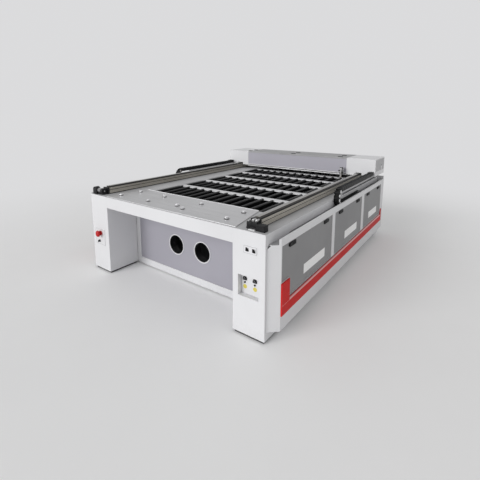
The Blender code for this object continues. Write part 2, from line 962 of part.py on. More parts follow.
def trim(side, name):
    """Red L-shaped strip: a low bar with a chamfered ledge, a front arm and a short rear tail."""
    inner, outer = face + seat, face + trim_proud
    bar = [
        (side * inner, trim_bottom),
        (side * (outer - 0.002), trim_bottom),
        (side * outer, trim_bottom + 0.004),
        (side * outer, trim_ledge),
        (side * inner, door_bottom - 0.001),
    ]
    rear = door_spans()[-1][1] + trim_reach
    start = cabinet_front + 0.002
    strip = add(name, prism(bar, "y", (start, rear)), red())
    arm = [
        (start + 0.0004, trim_bottom + 0.001),
        (start + trim_arm_width, trim_bottom + 0.001),
        (start + trim_arm_width, trim_arm_top),
        (start + 0.0004, trim_arm_top),
    ]
    fuse(strip, prism(arm, "x", sided(side, inner, outer - 0.0005)))
    tail = [
        (rear - 0.0004, trim_bottom + 0.001),
        (rear - 0.0004, trim_tail_top),
        (rear - trim_tail_width / 2, trim_tail_top),
        (rear - trim_tail_width, (trim_tail_top + door_bottom) / 2),
        (rear - trim_tail_width, trim_bottom + 0.001),
    ]
    fuse(strip, prism(tail, "x", sided(side, inner, outer - 0.0005)))


def rails(side, word):
    """Aluminium beam with a stepped foot and side grooves, and the steel guide rail on it."""
    centre = side * rail_centre
    wide = rail_beam_width / 2
    low = deck_height + seat
    mid = (low + rail_foot_height + rail_top) / 2
    groove = rail_groove / 2
    profile = [
        (wide - rail_foot_inset, low),
        (wide - rail_foot_inset, low + rail_foot_height),
        (wide, low + rail_foot_height),
        (wide, mid - groove),
        (wide - rail_groove, mid - groove),
        (wide - rail_groove, mid + groove),
        (wide, mid + groove),
        (wide, rail_top),
    ]
    outline = [(centre + x, z) for x, z in profile] + [(centre - x, z) for x, z in reversed(profile)]
    add(f"{word}_rail_beam", prism(outline, "y", (rail_front, rail_rear)), aluminium())
    half_guide = guide_width / 2
    waist = half_guide - guide_waist
    neck = guide_bottom + guide_height * 0.45
    shoulder = guide_bottom + guide_height * 0.65
    outline = [
        (centre - half_guide, guide_bottom),
        (centre + half_guide, guide_bottom),
        (centre + waist, neck),
        (centre + half_guide, shoulder),
        (centre + half_guide, guide_top - 0.001),
        (centre + half_guide - 0.001, guide_top),
        (centre - half_guide + 0.001, guide_top),
        (centre - half_guide, guide_top - 0.001),
        (centre - half_guide, shoulder),
        (centre - waist, neck),
    ]
    ends = (rail_front + guide_inset, rail_rear - guide_inset)
    add(f"{word}_guide_rail", prism(outline, "y", ends), steel())


def right_rail_stop():
    """Black block and end plate before the rail, with a bracket, two buffers and a switch lever."""
    low = deck_height + seat
    at = rail_centre
    end = rail_front - stop_gap
    front = end - stop_plate
    x = (at + 0.032, at + 0.102)
    stop = add("right_rail_stop", block(x, (front - 0.050, front - 0.006), (low, low + stop_height)), black())
    rounded(stop, 0.003)
    parts = [
        block((at - 0.040, at + 0.036), (front, end), (low, rail_top + 0.002)),
        block((at - 0.037, at + 0.041), (front - 0.046, front + 0.004), (low, low + 0.018)),
        rod(0.011, (at - 0.022, front - 0.032, low + stop_height), (0, 1, 0), 0.040, 16),
        rod(0.011, (at + 0.012, front - 0.030, low + stop_height), (0, 1, 0), 0.038, 16),
        block((at - 0.050, at - 0.012), (front - 0.035, front + 0.002), (low, low + stop_height + 0.003)),
        block((at - 0.044, at - 0.016), (front - 0.050, front - 0.033), (low, low + 0.016)),
    ]
    fuse(stop, merged_union(parts))


def left_rail_stop():
    """Round-topped drive end at the left rail with a silver coupling and a bracket over the edge."""
    low = deck_height + seat
    at = -rail_centre
    end = rail_front - stop_gap
    front = end - stop_plate
    shoulder = low + stop_height
    middle = at - 0.0855
    wide = 0.032
    outline = [(middle - wide, low), (middle + wide, low), (middle + wide, shoulder)]
    for step in range(1, 8):
        angle = math.pi * step / 8
        outline.append((middle + wide * math.cos(angle), shoulder + 0.026 * math.sin(angle)))
    outline.append((middle - wide, shoulder))
    stop = add("left_rail_stop", prism(outline, "y", (front - 0.064, front - 0.020)), black())
    axle = (front - 0.035, low + 0.036)
    hook_y = (front - 0.062, front - 0.012)
    parts = [
        rod(0.022, (at - 0.058, *axle), (1, 0, 0), 0.046, 20),
        block((at - 0.050, at + 0.028), (axle[0] - 0.015, axle[0] + 0.015), (low, low + 0.034)),
        rod(0.027, (at, *axle), (1, 0, 0), 0.030, 20),
        block((at - 0.045, at + 0.024), (axle[0] - 0.012, front + 0.004), (low, low + 0.018)),
        block((at - 0.040, at + 0.036), (front, end), (low, rail_top + 0.002)),
        block((-half - 0.022, middle - 0.004), hook_y, (low, low + 0.008)),
        block((-half - 0.022, -half - 0.0005), hook_y, (low - 0.060, low + 0.004)),
    ]
    fuse(stop, merged_union(parts))


def merged_union(shapes):
    """Joins overlapping bodies into one closed bmesh with exact Booleans."""
    first = add("union_base", shapes[0], black())
    helpers = []
    for shape in shapes[1:]:
        helper = add("union_step", shape, black())
        step = first.modifiers.new("union", "BOOLEAN")
        step.operation = "UNION"
        step.object = helper
        helpers.append(helper)
    graph = bpy.context.evaluated_depsgraph_get()
    joined = bmesh.new()
    joined.from_object(first, graph)
    for obj in [first] + helpers:
        bpy.data.objects.remove(obj)
    return joined


def chain_shelf(side, name):
    """Folded shelf on the deck's side that carries the chain's upper run."""
    wall = half + seat
    outline = [
        (wall, shelf_bottom),
        (wall + shelf_sheet, shelf_bottom),
        (wall + shelf_sheet, shelf_ledge),
        (wall + shelf_ledge_width, shelf_ledge),
        (wall + shelf_ledge_width, shelf_ledge + shelf_sheet),
        (wall + shelf_sheet, shelf_ledge + shelf_sheet),
        (wall + shelf_sheet, shelf_top - shelf_sheet),
        (wall + shelf_width, shelf_top - shelf_sheet),
        (wall + shelf_width, shelf_top),
        (wall, shelf_top),
    ]
    outline = [(side * x, z) for x, z in outline]
    add(name, prism(outline, "y", (shelf_front, rail_rear)), white())


def chain_x(side):
    inner = half + chain_side_gap
    return sided(side, inner, inner + chain_width)


def chain_run(name, side, y, z):
    """A straight run of links, each with a waist above and below."""
    links = max(1, round((y[1] - y[0]) / chain_link))
    pitch = (y[1] - y[0]) / links
    under, over = [], []
    for link in range(links - 1):
        at = y[0] + link * pitch
        narrow = at + pitch - chain_notch
        for edge, level, waist in ((under, z[0], chain_notch_depth), (over, z[1], -chain_notch_depth)):
            edge += [(at, level), (narrow, level), (narrow, level + waist), (at + pitch, level + waist)]
    under += [(y[1] - pitch, z[0]), (y[1], z[0])]
    over += [(y[1] - pitch, z[1]), (y[1], z[1])]
    add(name, prism(under + over[::-1], "x", chain_x(side)), black())


def chain_loop(name, side):
    """The half-turn of links at the chain's front."""
    links = 6
    outer, inner = [], []
    for link in range(links):
        start = -math.pi / 2 - math.pi * link / links
        stop = start - math.pi / links
        notch = chain_notch / bend_outer
        for angle, drop in ((start, 0), (stop + notch, 0), (stop + notch, 1), (stop, 1)):
            if drop and link == links - 1:
                continue
            reach = bend_outer - drop * chain_notch_depth
            outer.append((chain_bend + reach * math.cos(angle), bend_centre + reach * math.sin(angle)))
        inner.append((chain_bend + bend_inner * math.cos(start), bend_centre + bend_inner * math.sin(start)))
    outer.append((chain_bend, bend_centre + bend_outer))
    inner.append((chain_bend, bend_centre + bend_inner))
    loop = add(name, prism(outer + inner[::-1], "x", chain_x(side)), black())
    pivot(loop, sum(chain_x(side)) / 2, chain_bend, bend_centre)


def chains(side, word):
    """Lower run on the machine, bend between, and upper run on the gantry."""
    lower = (chain_bend + seat, chain_fixed_end)
    chain_run(f"{word}_lower_chain", side, lower, (chain_low, chain_low + chain_height))
    chain_loop(f"{word}_chain_loop", side)
    upper = (chain_bend + seat, gantry_front - bracket_length)
    chain_run(f"{word}_upper_chain", side, upper, (chain_high, chain_top))


def gantry_beam():
    """Floor plate, box tube, rear sheet, X rail and the saddles that ride both guide rails."""
    rear_inner = gantry_rear - cap_wall - seat
    back = tube_front + tube_depth
    profile = [
        (gantry_front - floor_lip, floor_bottom),
        (rear_inner, floor_bottom),
        (rear_inner, lid_under - seat),
        (rear_inner - cover_sheet, lid_under - seat),
        (rear_inner - cover_sheet, floor_top),
        (back, floor_top),
        (back, tube_top),
        (tube_front, tube_top),
        (tube_front, floor_top),
        (gantry_front - floor_lip, floor_top),
    ]
    width = cap_inner - seat
    beam = add("gantry_beam", prism(profile, "x", (-width, width)), white())
    reach = rail_centre + rail_beam_width / 2 + 2 * saddle_overhang
    low = guide_top + seat
    tube = [
        (tube_front + 0.001, low + 0.004),
        (back - 0.001, low + 0.004),
        (back - 0.001, tube_top - 0.001),
        (tube_front + 0.001, tube_top - 0.001),
    ]
    fuse(beam, prism(tube, "x", (-reach, reach)))
    x_rail = (x_rail_bottom, x_rail_bottom + x_rail_height)
    fuse(beam, block((-width + 0.002, width - 0.002), (tube_front - x_rail_depth, tube_front + 0.004), x_rail))
    for side in (-1, 1):
        fuse(beam, saddle(side, low))


def saddle(side, low):
    """Bearing carriage: an inverted U over the guide rail, reaching the cap's rear wall."""
    centre = side * rail_centre
    outer = rail_beam_width / 2 + saddle_overhang
    ear = guide_width / 2 + seat * 2
    ear_low = rail_top + running
    outline = [
        (centre - outer, ear_low),
        (centre - ear, ear_low),
        (centre - ear, low),
        (centre + ear, low),
        (centre + ear, ear_low),
        (centre + outer, ear_low),
        (centre + outer, saddle_top),
        (centre - outer, saddle_top),
    ]
    return prism(outline, "y", (saddle_front, gantry_rear - cap_wall - seat))


def gantry_cover():
    """Grey front sheet between the caps, over the slot that the head's arm passes through."""
    width = cap_inner - seat
    y = (cover_front, cover_front + cover_sheet)
    add("gantry_cover", block((-width, width), y, (slot_top, lid_under - seat)), light_gray())


def gantry_lid():
    """Top sheet with a front flange. It opens upward about its rear edge."""
    width = cap_inner - seat
    outline = [
        (gantry_front, gantry_top - lid_flange),
        (cover_front - seat, gantry_top - lid_flange),
        (cover_front - seat, lid_under),
        (gantry_rear - seat, lid_under),
        (gantry_rear - seat, gantry_top),
        (gantry_front, gantry_top),
    ]
    lid = add("gantry_lid", prism(outline, "x", (-width, width)), light_gray())
    pivot(lid, 0, gantry_rear - seat, gantry_top)


def end_cap(side, name):
    """White end housing, open below and inward, with notches over the chain shelf and the rail."""
    x = sided(side, cap_inner, face)
    y = (gantry_front, gantry_rear)
    cap = add(name, block(x, y, (gantry_bottom, gantry_top)), white())
    below = gantry_bottom - 0.020
    through = (y[0] - 0.020, y[1] + 0.020)
    room_x = sided(side, cap_inner + cap_wall, face - cap_wall)
    room_y = (y[0] + cap_wall, y[1] - cap_wall)
    cut(cap, block(room_x, room_y, (below, gantry_top - cap_wall)))
    way_x = sided(side, cap_inner - 0.020, cap_inner + 0.020)
    way_y = (y[0] + cap_flange, y[1] - cap_flange)
    cut(cap, block(way_x, way_y, (below, gantry_top - cap_flange)))
    shelf_x = sided(side, half - 0.004, half + shelf_width + 0.005)
    cut(cap, block(shelf_x, through, (below, shelf_top + 0.003)))
    wide = rail_beam_width / 2 + cap_rail_gap
    rail_x = sided(side, rail_centre - wide, rail_centre + wide)
    cut(cap, block(rail_x, through, (below, guide_top + cap_rail_gap)))
    fuse(cap, chain_bracket(side))


def chain_bracket(side):
    """Black block on the cap's front that holds the upper run's last link."""
    x = chain_x(side)
    y = (gantry_front - bracket_length + seat, gantry_front + 0.002)
    return block(x, y, (chain_high + 0.004, chain_top + bracket_rise))


def head_carriage():
    """Block on the X rail with an arm that passes under the cover to the head's mounting plate."""
    front = tube_front - carriage_depth
    x = (head_place - carriage_width / 2, head_place + carriage_width / 2)
    rail_low = x_rail_bottom - running
    rail_high = x_rail_bottom + x_rail_height + running
    groove = tube_front - x_rail_depth - seat
    near = tube_front - seat
    outline = [
        (front, carriage_bottom),
        (near, carriage_bottom),
        (near, rail_low),
        (groove, rail_low),
        (groove, rail_high),
        (near, rail_high),
        (near, carriage_top),
        (front, carriage_top),
    ]
    carriage = add("head_carriage", prism(outline, "x", x), steel())
    arm_low = floor_top + arm_gap
    arm_high = arm_low + arm_thickness
    arm = [
        (arm_front, arm_low),
        (front + carriage_depth / 2, arm_low),
        (front + carriage_depth / 2, carriage_bottom + 0.010),
        (front + 0.002, carriage_bottom + 0.010),
        (front + 0.002, arm_high),
        (arm_front + arm_plate, arm_high),
        (arm_front + arm_plate, plate_top),
        (arm_front, plate_top),
    ]
    fuse(carriage, prism(arm, "x", (head_place - arm_width / 2, head_place + arm_width / 2)))


def laser_head():
    """Cutting head: slide plate, round body, two focus knobs and a tapered nozzle."""
    plate = (arm_front - seat - slide_plate, arm_front - seat)
    x = (head_place - slide_width / 2, head_place + slide_width / 2)
    body_y = plate[0] - head_radius + 0.004
    profile = [
        (0, nozzle_tip),
        (nozzle_radius, nozzle_tip),
        (head_radius * 0.6, head_bottom - 0.004),
        (head_radius * 0.6, head_bottom),
        (head_radius, head_bottom + 0.002),
        (head_radius, head_top - 0.022),
        (head_radius * 0.8, head_top - 0.018),
        (head_radius * 0.8, head_top),
        (0, head_top),
    ]
    head = add("laser_head", turned(profile, (head_place, body_y, 0), (0, 0, 1), 28), steel(), smooth=True)
    knob_z = (head_bottom + head_top) / 2
    parts = [
        block(x, plate, (head_bottom + 0.020, plate_top)),
        rod(0.008, (head_place - head_radius - 0.010, body_y, knob_z + 0.012), (1, 0, 0), 0.014, 14),
        rod(0.007, (head_place + head_radius - 0.004, body_y, knob_z - 0.008), (1, 0, 0), 0.013, 14),
    ]
    for part in parts:
        fuse(head, part)


def laser_source():
    """Rack unit on the rear right bay's floor, with two front handles."""
    floor = base_height + fold + seat
    x = (bay_wall + source_inset, bay_wall + source_inset + source_width)
    y = (rear_front - source_setback - source_length, rear_front - source_setback)
    unit = add("laser_source", block(x, y, (floor, floor + source_height)), light_gray())
    low = floor + (source_height - handle_height) / 2
    high = low + handle_height
    root = x[1] - handle_bar / 2
    tip = x[1] + handle_reach
    for middle in (y[0] + source_length / 12, y[1] - source_length / 12):
        grip = [
            (root, low),
            (tip, low),
            (tip, high),
            (root, high),
            (root, high - handle_bar),
            (tip - handle_bar, high - handle_bar),
            (tip - handle_bar, low + handle_bar),
            (root, low + handle_bar),
        ]
        fuse(unit, prism(grip, "y", (middle - handle_bar / 2, middle + handle_bar / 2)))


def drive_modules():
    """Mounting plate on the hopper's wall in the front right bay with a row of drives."""
    y = (frame_rear + drive_plate_margin, door_spans()[0][1] - drive_plate_margin)
    z = (base_height + drive_plate_foot, deck_bottom - drive_plate_head)
    plate = add("drive_modules", block((bay_wall, bay_wall + fold), y, z), steel())
    top = z[1] - drive_drop
    pitch = (y[1] - y[0] - 2 * drive_inset - drive_width) / (len(drive_heights) - 1)
    for number, height in enumerate(drive_heights):
        start = y[0] + drive_inset + number * pitch
        x = (bay_wall + fold / 2, bay_wall + fold + drive_depth)
        fuse(plate, block(x, (start, start + drive_width), (top - height, top)))


def main():
    clear_scene()
    front_portal()
    controls()
    socket_panel()
    duct_wall()
    deck()
    front_deck_plate()
    slat_rows()
    slag_hopper()
    rear_frame()
    for side, word in ((-1, "left"), (1, "right")):
        side_shell(side, f"{word}_side_shell")
        trim(side, f"{word}_trim")
        rails(side, word)
        chain_shelf(side, f"{word}_chain_shelf")
        chains(side, word)
        end_cap(side, f"{word}_end_cap")
    doors()
    right_rail_stop()
    left_rail_stop()
    gantry_beam()
    gantry_cover()
    gantry_lid()
    head_carriage()
    laser_head()
    laser_source()
    drive_modules()


main()
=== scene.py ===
"""Looks of a flat-bed fibre laser cutting machine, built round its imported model.

Every size is in metres in the model's own frame: X to the machine's right, Y to its rear, Z up.
"""

import json
import math

import bmesh
import bpy
from bpy.props import FloatProperty, FloatVectorProperty, IntProperty, PointerProperty
from mathutils import Matrix, Vector

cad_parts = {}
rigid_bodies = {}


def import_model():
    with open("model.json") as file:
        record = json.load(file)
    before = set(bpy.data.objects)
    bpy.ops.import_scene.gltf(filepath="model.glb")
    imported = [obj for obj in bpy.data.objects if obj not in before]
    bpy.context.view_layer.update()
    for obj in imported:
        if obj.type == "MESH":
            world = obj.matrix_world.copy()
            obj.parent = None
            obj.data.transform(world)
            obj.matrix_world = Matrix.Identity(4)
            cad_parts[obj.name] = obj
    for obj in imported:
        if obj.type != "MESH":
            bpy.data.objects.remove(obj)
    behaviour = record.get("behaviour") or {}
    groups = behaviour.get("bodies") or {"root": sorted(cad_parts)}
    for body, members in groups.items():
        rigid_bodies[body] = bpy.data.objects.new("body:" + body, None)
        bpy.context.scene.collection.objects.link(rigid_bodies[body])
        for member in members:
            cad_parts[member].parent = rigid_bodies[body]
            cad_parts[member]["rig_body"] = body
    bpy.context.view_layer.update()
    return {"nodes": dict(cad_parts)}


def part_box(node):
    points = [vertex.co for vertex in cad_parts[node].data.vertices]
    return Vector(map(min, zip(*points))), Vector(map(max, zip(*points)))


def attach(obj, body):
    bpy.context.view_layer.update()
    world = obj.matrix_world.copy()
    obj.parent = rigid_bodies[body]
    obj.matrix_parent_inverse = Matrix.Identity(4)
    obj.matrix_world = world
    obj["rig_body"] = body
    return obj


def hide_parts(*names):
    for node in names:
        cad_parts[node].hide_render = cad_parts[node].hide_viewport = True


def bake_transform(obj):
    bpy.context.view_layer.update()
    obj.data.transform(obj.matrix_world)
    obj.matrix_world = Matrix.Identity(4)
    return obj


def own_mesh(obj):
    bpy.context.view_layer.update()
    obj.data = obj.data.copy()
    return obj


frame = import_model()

bl_info = {
    "name": "Flat-bed laser cutting machine",
    "version": (1, 0, 0),
    "blender": (4, 5, 0),
    "location": "3D View > Sidebar > Laser Cutter",
    "description": "Builds the housings, slat bed, rails, chains, gantry and finishes",
    "category": "Object",
}

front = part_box("front_beam")[0].y
deck_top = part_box("front_beam")[1].z
side_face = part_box("rear_frame")[1].x
beam_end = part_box("front_beam")[1].x
beam_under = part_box("front_beam")[0].z
sunk = 0.001  # how far a fitted detail reaches into what carries it
both_sides = ("left", "right")
backward, forward, across, upward = (0, 1, 0), (0, -1, 0), (1, 0, 0), (0, 0, 1)


class Value:
    """A shader value. Sums and products of values add the Math nodes that they need."""

    def __init__(self, nodes, socket):
        self.nodes = nodes
        self.socket = socket

    def combined(self, operation, first, second):
        return self.nodes.node("ShaderNodeMath", {"operation": operation}, {0: first, 1: second})

    def __add__(self, other):
        return self.combined("ADD", self, other)

    def __sub__(self, other):
        return self.combined("SUBTRACT", self, other)

    def __rsub__(self, other):
        return self.combined("SUBTRACT", other, self)

    def __mul__(self, other):
        return self.combined("MULTIPLY", self, other)

    __radd__ = __add__
    __rmul__ = __mul__

    def span(self, low, high):
        """0 at low, 1 at high and beyond, smooth between."""
        sockets = {"Value": self, "From Min": low, "From Max": high}
        return self.nodes.node("ShaderNodeMapRange", {"interpolation_type": "SMOOTHSTEP"}, sockets)


class Nodes:
    """A node tree under construction."""

    def __init__(self, tree):
        self.tree = tree

    def feed(self, socket, value):
        if isinstance(value, Value):
            self.tree.links.new(value.socket, socket)
        else:
            socket.default_value = value

    def node(self, kind, settings, sockets, output=0):
        """Adds a node with its settings and the values or links of its sockets."""
        made = self.tree.nodes.new(kind)
        for key, value in settings.items():
            setattr(made, key, value)
        for key, value in sockets.items():
            self.feed(made.inputs[key], value)
        return Value(self, made.outputs[output])

    def ray(self, kind):
        return self.node("ShaderNodeLightPath", {}, {}, f"Is {kind} Ray")

    def shown(self, output, first, second, share):
        """Leads a mix of two shaders to the tree's output."""
        both = self.node("ShaderNodeMixShader", {}, {0: share, 1: first, 2: second})
        self.feed(output.inputs["Surface"], both)


class Look(Nodes):
    """A material under construction, around one Principled shader."""

    def __init__(self, name):
        self.material = bpy.data.materials.new(name)
        self.material.use_nodes = True
        super().__init__(self.material.node_tree)
        self.shader = self.tree.nodes["Principled BSDF"]

    def place(self):
        return self.node("ShaderNodeTexCoord", {}, {}, "Object")

    def height(self):
        return self.node("ShaderNodeSeparateXYZ", {}, {0: self.place()}, "Z")

    def rubbed(self, scale, detail, low, high):
        """Worn patches on the rounded edges of a dressed housing."""
        edge = self.node("ShaderNodeAttribute", {"attribute_name": "edge"}, {}, "Fac")
        return edge * self.noise(scale, detail, roughness=0.7).span(low, high)

    def noise(self, scale, detail=2.0, stretch=(1, 1, 1), roughness=0.5):
        at = self.node("ShaderNodeMapping", {}, {"Vector": self.place(), "Scale": stretch})
        sockets = {"Vector": at, "Scale": scale, "Detail": detail, "Roughness": roughness}
        return self.node("ShaderNodeTexNoise", {}, sockets, "Fac")

    def mix(self, low, high, share):
        """A colour between two colours."""
        low, high = (value if isinstance(value, Value) else (*value, 1) for value in (low, high))
        settings = {"data_type": "RGBA", "clamp_factor": True}
        return self.node("ShaderNodeMix", settings, {0: share, 6: low, 7: high}, 2)

    def tones(self, color, dark, light, share):
        """A colour that varies between a darker and a lighter tone of itself."""
        return self.mix(shade(color, dark), shade(color, light), share)

    def bump(self, height, distance, strength=1.0):
        sockets = {"Height": height, "Distance": distance, "Strength": strength}
        self.feed(self.shader.inputs["Normal"], self.node("ShaderNodeBump", {}, sockets))

    def done(self, **sockets):
        """Sets the shader's sockets, whose names are written with underscores."""
        for key, value in sockets.items():
            self.feed(self.shader.inputs[key.replace("_", " ")], value)
        return self.material


def shade(color, factor):
    return tuple(min(1.0, channel * factor) for channel in color)


def paint(name, color, roughness=0.36, low_darkening=0.35):
    """Sprayed enamel: a fine orange peel, faint clouds, darker and rougher specks towards the floor
    and rubbed edges.
    """
    look = Look(name)
    cloud = look.noise(1.7, 4)
    speck = look.noise(60, 5, roughness=0.7)
    # darker and rougher towards the floor, over the lowest 0.16 m
    low = 1 - look.height().span(0.0, 0.16)
    darkening = low * speck.span(0.35, 0.75) * low_darkening + speck.span(0.62, 0.8) * 0.05
    body = look.tones(color, 0.965, 1.02, cloud.span(0.3, 0.7))
    worn = look.mix(body, shade(color, 1.05), look.rubbed(24, 6, 0.52, 0.68))
    look.bump(look.noise(520, 1), 0.00035, 0.18)
    return look.done(
        Base_Color=look.mix(worn, shade(color, 0.55), darkening),
        Roughness=roughness + (cloud - 0.5) * 0.10 + speck * 0.08 + darkening * 0.3,
        Specular_IOR_Level=0.45,
    )


def textured(name, color, roughness=0.46, shine=0.4):
    """Fine-texture powder coat, as on the doors: a dry grain with slight scuffs."""
    look = Look(name)
    grain = look.noise(900, 3, roughness=0.6)
    scuff = look.noise(9, 8, (1, 1, 4), 0.72).span(0.66, 0.8)
    body = look.tones(color, 0.93, 1.05, look.noise(2.4, 3).span(0.3, 0.7))
    marks = scuff * 0.25 + look.rubbed(30, 5, 0.5, 0.7) * 0.5
    look.bump(grain, 0.0004, 0.35)
    return look.done(
        Base_Color=look.mix(body, shade(color, 1.22), marks),
        Roughness=roughness + grain * 0.14 - scuff * 0.06,
        Specular_IOR_Level=shine,
    )


def brushed(name, color, roughness, along, metallic=1.0, depth=0.10):
    """Rolled or drawn metal with fine lines along one axis."""
    look = Look(name)
    stretch = tuple(0.02 if axis == along else 1.0 for axis in "xyz")
    lines = look.noise(420, 3, stretch, 0.65)
    cloud = look.noise(1.3, 3)
    smear = look.noise(7, 6, roughness=0.7).span(0.55, 0.75)
    tone = lines * 0.5 + look.noise(60, 2, stretch) * 0.2 + cloud * 0.3
    body = look.tones(color, 0.74, 1.18, tone.span(0.25, 0.75))
    look.bump(lines, 0.00015, depth)
    return look.done(
        Base_Color=look.mix(body, shade(color, 0.8), smear * 0.35),
        Roughness=roughness + (lines - 0.5) * 0.16 + smear * 0.12 + cloud * 0.06,
        Metallic=metallic,
    )


def plastic(name, color, roughness=0.42, grain_size=700, dust=0.5):
    """Moulded plastic with a fine grain and a little dust."""
    look = Look(name)
    grain = look.noise(grain_size, 2)
    dusty = look.noise(38, 6, roughness=0.7).span(0.5, 0.8)
    pale = tuple(channel + 0.03 * dust for channel in color)
    look.bump(grain, 0.0003, 0.25)
    return look.done(
        Base_Color=look.mix(color, pale, dusty),
        Roughness=roughness + grain * 0.1 + dusty * 0.12,
        Specular_IOR_Level=0.2,
    )


def scorched(name, color):
    """Black slat bars: a satin coat with grey rubs along the crown and specks of spatter."""
    look = Look(name)
    rub = look.noise(30, 6, (1, 0.15, 1), 0.7).span(0.5, 0.78)
    spatter = look.noise(340, 4, roughness=0.65).span(0.62, 0.72)
    crown = look.height().span(deck_top - 0.010, deck_top + 0.002)
    scratch = look.noise(260, 2, (1, 0.04, 1)).span(0.5, 0.7)
    tone = look.mix(color, (0.055, 0.055, 0.056), rub * crown * 0.8)
    look.bump(spatter + scratch * 0.4, 0.0003, 0.4)
    return look.done(
        Base_Color=look.mix(tone, (0.11, 0.10, 0.095), spatter * crown * 0.5),
        Roughness=0.33 + rub * 0.14 + spatter * 0.2,
        Specular_IOR_Level=0.22,
    )


def emptied(name, color):
    """A soft plain colour for small plates, with a faint print grain."""
    look = Look(name)
    fleck = look.noise(150, 4)
    body = look.tones(color, 0.95, 1.04, fleck.span(0.35, 0.65))
    look.bump(look.noise(800, 1), 0.0001, 0.2)
    return look.done(Base_Color=body, Roughness=0.42 + fleck * 0.1)


def painted_ledge_light(name, color):
    """The trim's sloped top, shaded by height: a painted highlight along the fold below and a
    painted shadow at the seam under the doors above.
    """
    look = Look(name)
    height = look.height() + (look.noise(40, 3) - 0.5) * 0.001
    # painted highlight: a pale tone along the foot of the slope
    pale = tuple(channel * 0.55 + 0.38 for channel in color)
    fold_highlight = look.mix(color, pale, 1 - height.span(0.269, 0.276))
    # painted shadow: near black at the top of the slope, under the doors
    seam = look.mix(fold_highlight, shade(color, 0.2), height.span(0.274, 0.281))
    look.bump(look.noise(900, 2), 0.0003, 0.3)
    return look.done(Base_Color=seam, Roughness=0.3)


looks = {}


def make_looks(colors):
    looks.update(
        white=paint("white_enamel", colors.white, low_darkening=0.2),
        panel=paint("panel_enamel", colors.panel, 0.42, 0.1),
        duct=paint("duct_panel_enamel", shade(colors.panel, 0.88), 0.42, 0.1),
        ledge=painted_ledge_light("red_ledge", colors.red),
        door=textured("door_coat", colors.door),
        red=textured("red_enamel", colors.red, 0.38, 0.15),
        deck=textured("deck_paint", colors.deck, 0.5),
        tray=textured("tray_painted_shade", colors.tray, 0.5),
        lid=textured("lid_enamel", colors.lid, 0.4),
        # near black, as painted shade on the right chain shelf
        dim=textured("dim_coat", (0.13, 0.13, 0.135), 0.5),
        # also the gantry lid's front faces, as painted light
        shadow=textured("end_plate_coat", (0.36, 0.36, 0.37)),
        steel=brushed("rolled_steel", colors.steel, 0.36, "x"),
        bolt=brushed("zinc_bolt", (0.80, 0.80, 0.81), 0.22, "z", depth=0.02),
        zinc=brushed("dull_zinc", (0.46, 0.46, 0.46), 0.30, "z", depth=0.02),
        guide=brushed("ground_steel", (0.36, 0.35, 0.33), 0.30, "y"),
        # near black, as painted shade on the guide rails' flanks; also the plate bolts' washers
        flank=brushed("guide_flank", (0.11, 0.105, 0.10), 0.4, "y"),
        left_rail=brushed("drawn_aluminium", shade(colors.rail, 1.3), 0.38, "y", 0.8),
        # painted light: the right beam's aluminium is a lighter, less metallic copy of the left's
        right_rail=brushed("rail_painted_light", shade(colors.rail, 1.45), 0.42, "y", 0.4),
        brass=brushed("nozzle_brass", (0.62, 0.44, 0.20), 0.24, "x", depth=0.03),
        black=plastic("black_plastic_grain", (0.012, 0.012, 0.013)),
        rubber=plastic("buffer_rubber", (0.022, 0.022, 0.022), 0.7, 300),
        foot=plastic("foot_rubber", (0.035, 0.035, 0.038), 0.65, 200),
        hopper=plastic("hopper_black", (0.010, 0.010, 0.011), 0.6, 120),
        mushroom=plastic("stop_button_red", (0.50, 0.020, 0.022), 0.26, 900, 0.2),
        slat=scorched("slat_coat", colors.slat),
        plate=emptied("plain_plate", (0.78, 0.78, 0.79)),
        door_plate=emptied("door_plate", (0.94, 0.94, 0.94)),
        yellow=emptied("plain_yellow", (0.66, 0.56, 0.10)),
    )


def softened(shape, soft, steps=2, sharp=40, chosen=None):
    """Rounds edges sharper than some degrees, or the chosen of them, and marks the new faces."""
    layer = shape.faces.layers.float.get("edge") or shape.faces.layers.float.new("edge")
    if soft <= 0:
        return shape
    limit = math.radians(sharp)
    edges = [e for e in shape.edges if len(e.link_faces) == 2 and e.calc_face_angle(0) > limit]
    if chosen:
        edges = [e for e in edges if chosen(*(v.co for v in e.verts))]
    made = bmesh.ops.bevel(
        shape, geom=edges, offset=soft, segments=steps, profile=0.5, affect="EDGES", material=-1,
        clamp_overlap=True,
    )
    for face in made["faces"]:
        face[layer] = 1.0
    return shape


def box(low, high, soft=0.0, steps=2):
    """A box between two corners, with rounded edges."""
    shape = bmesh.new()
    bmesh.ops.create_cube(shape, size=1)
    low, high = Vector(low), Vector(high)
    bmesh.ops.scale(shape, vec=high - low, verts=shape.verts)
    bmesh.ops.translate(shape, vec=(low + high) / 2, verts=shape.verts)
    return softened(shape, soft, steps)


def seated(base, rows):
    """Boxes on a level. A row holds X, Y behind the front and Z above the level, then rounding."""
    return [
        box((x[0], front + y[0], base + z[0]), (x[1], front + y[1], base + z[1]), *soft)
        for x, y, z, *soft in rows
    ]


def laid_along(shape, place, axis):
    """Turns a shape's Z to an axis and moves it to a place."""
    turn = Vector(upward).rotation_difference(Vector(axis)).to_matrix().to_4x4()
    placed = Matrix.Translation(Vector(place)) @ turn
    bmesh.ops.transform(shape, matrix=placed, verts=shape.verts)
    return shape


def rod(radius, start, end, sides=24, soft=0.0, steps=1):
    """A round or many-sided bar from start to end."""
    start, end = Vector(start), Vector(end)
    shape = bmesh.new()
    bmesh.ops.create_cone(
        shape, cap_ends=True, segments=sides, radius1=radius, radius2=radius,
        depth=(end - start).length,
    )
    return softened(laid_along(shape, (start + end) / 2, end - start), soft, steps, 50)


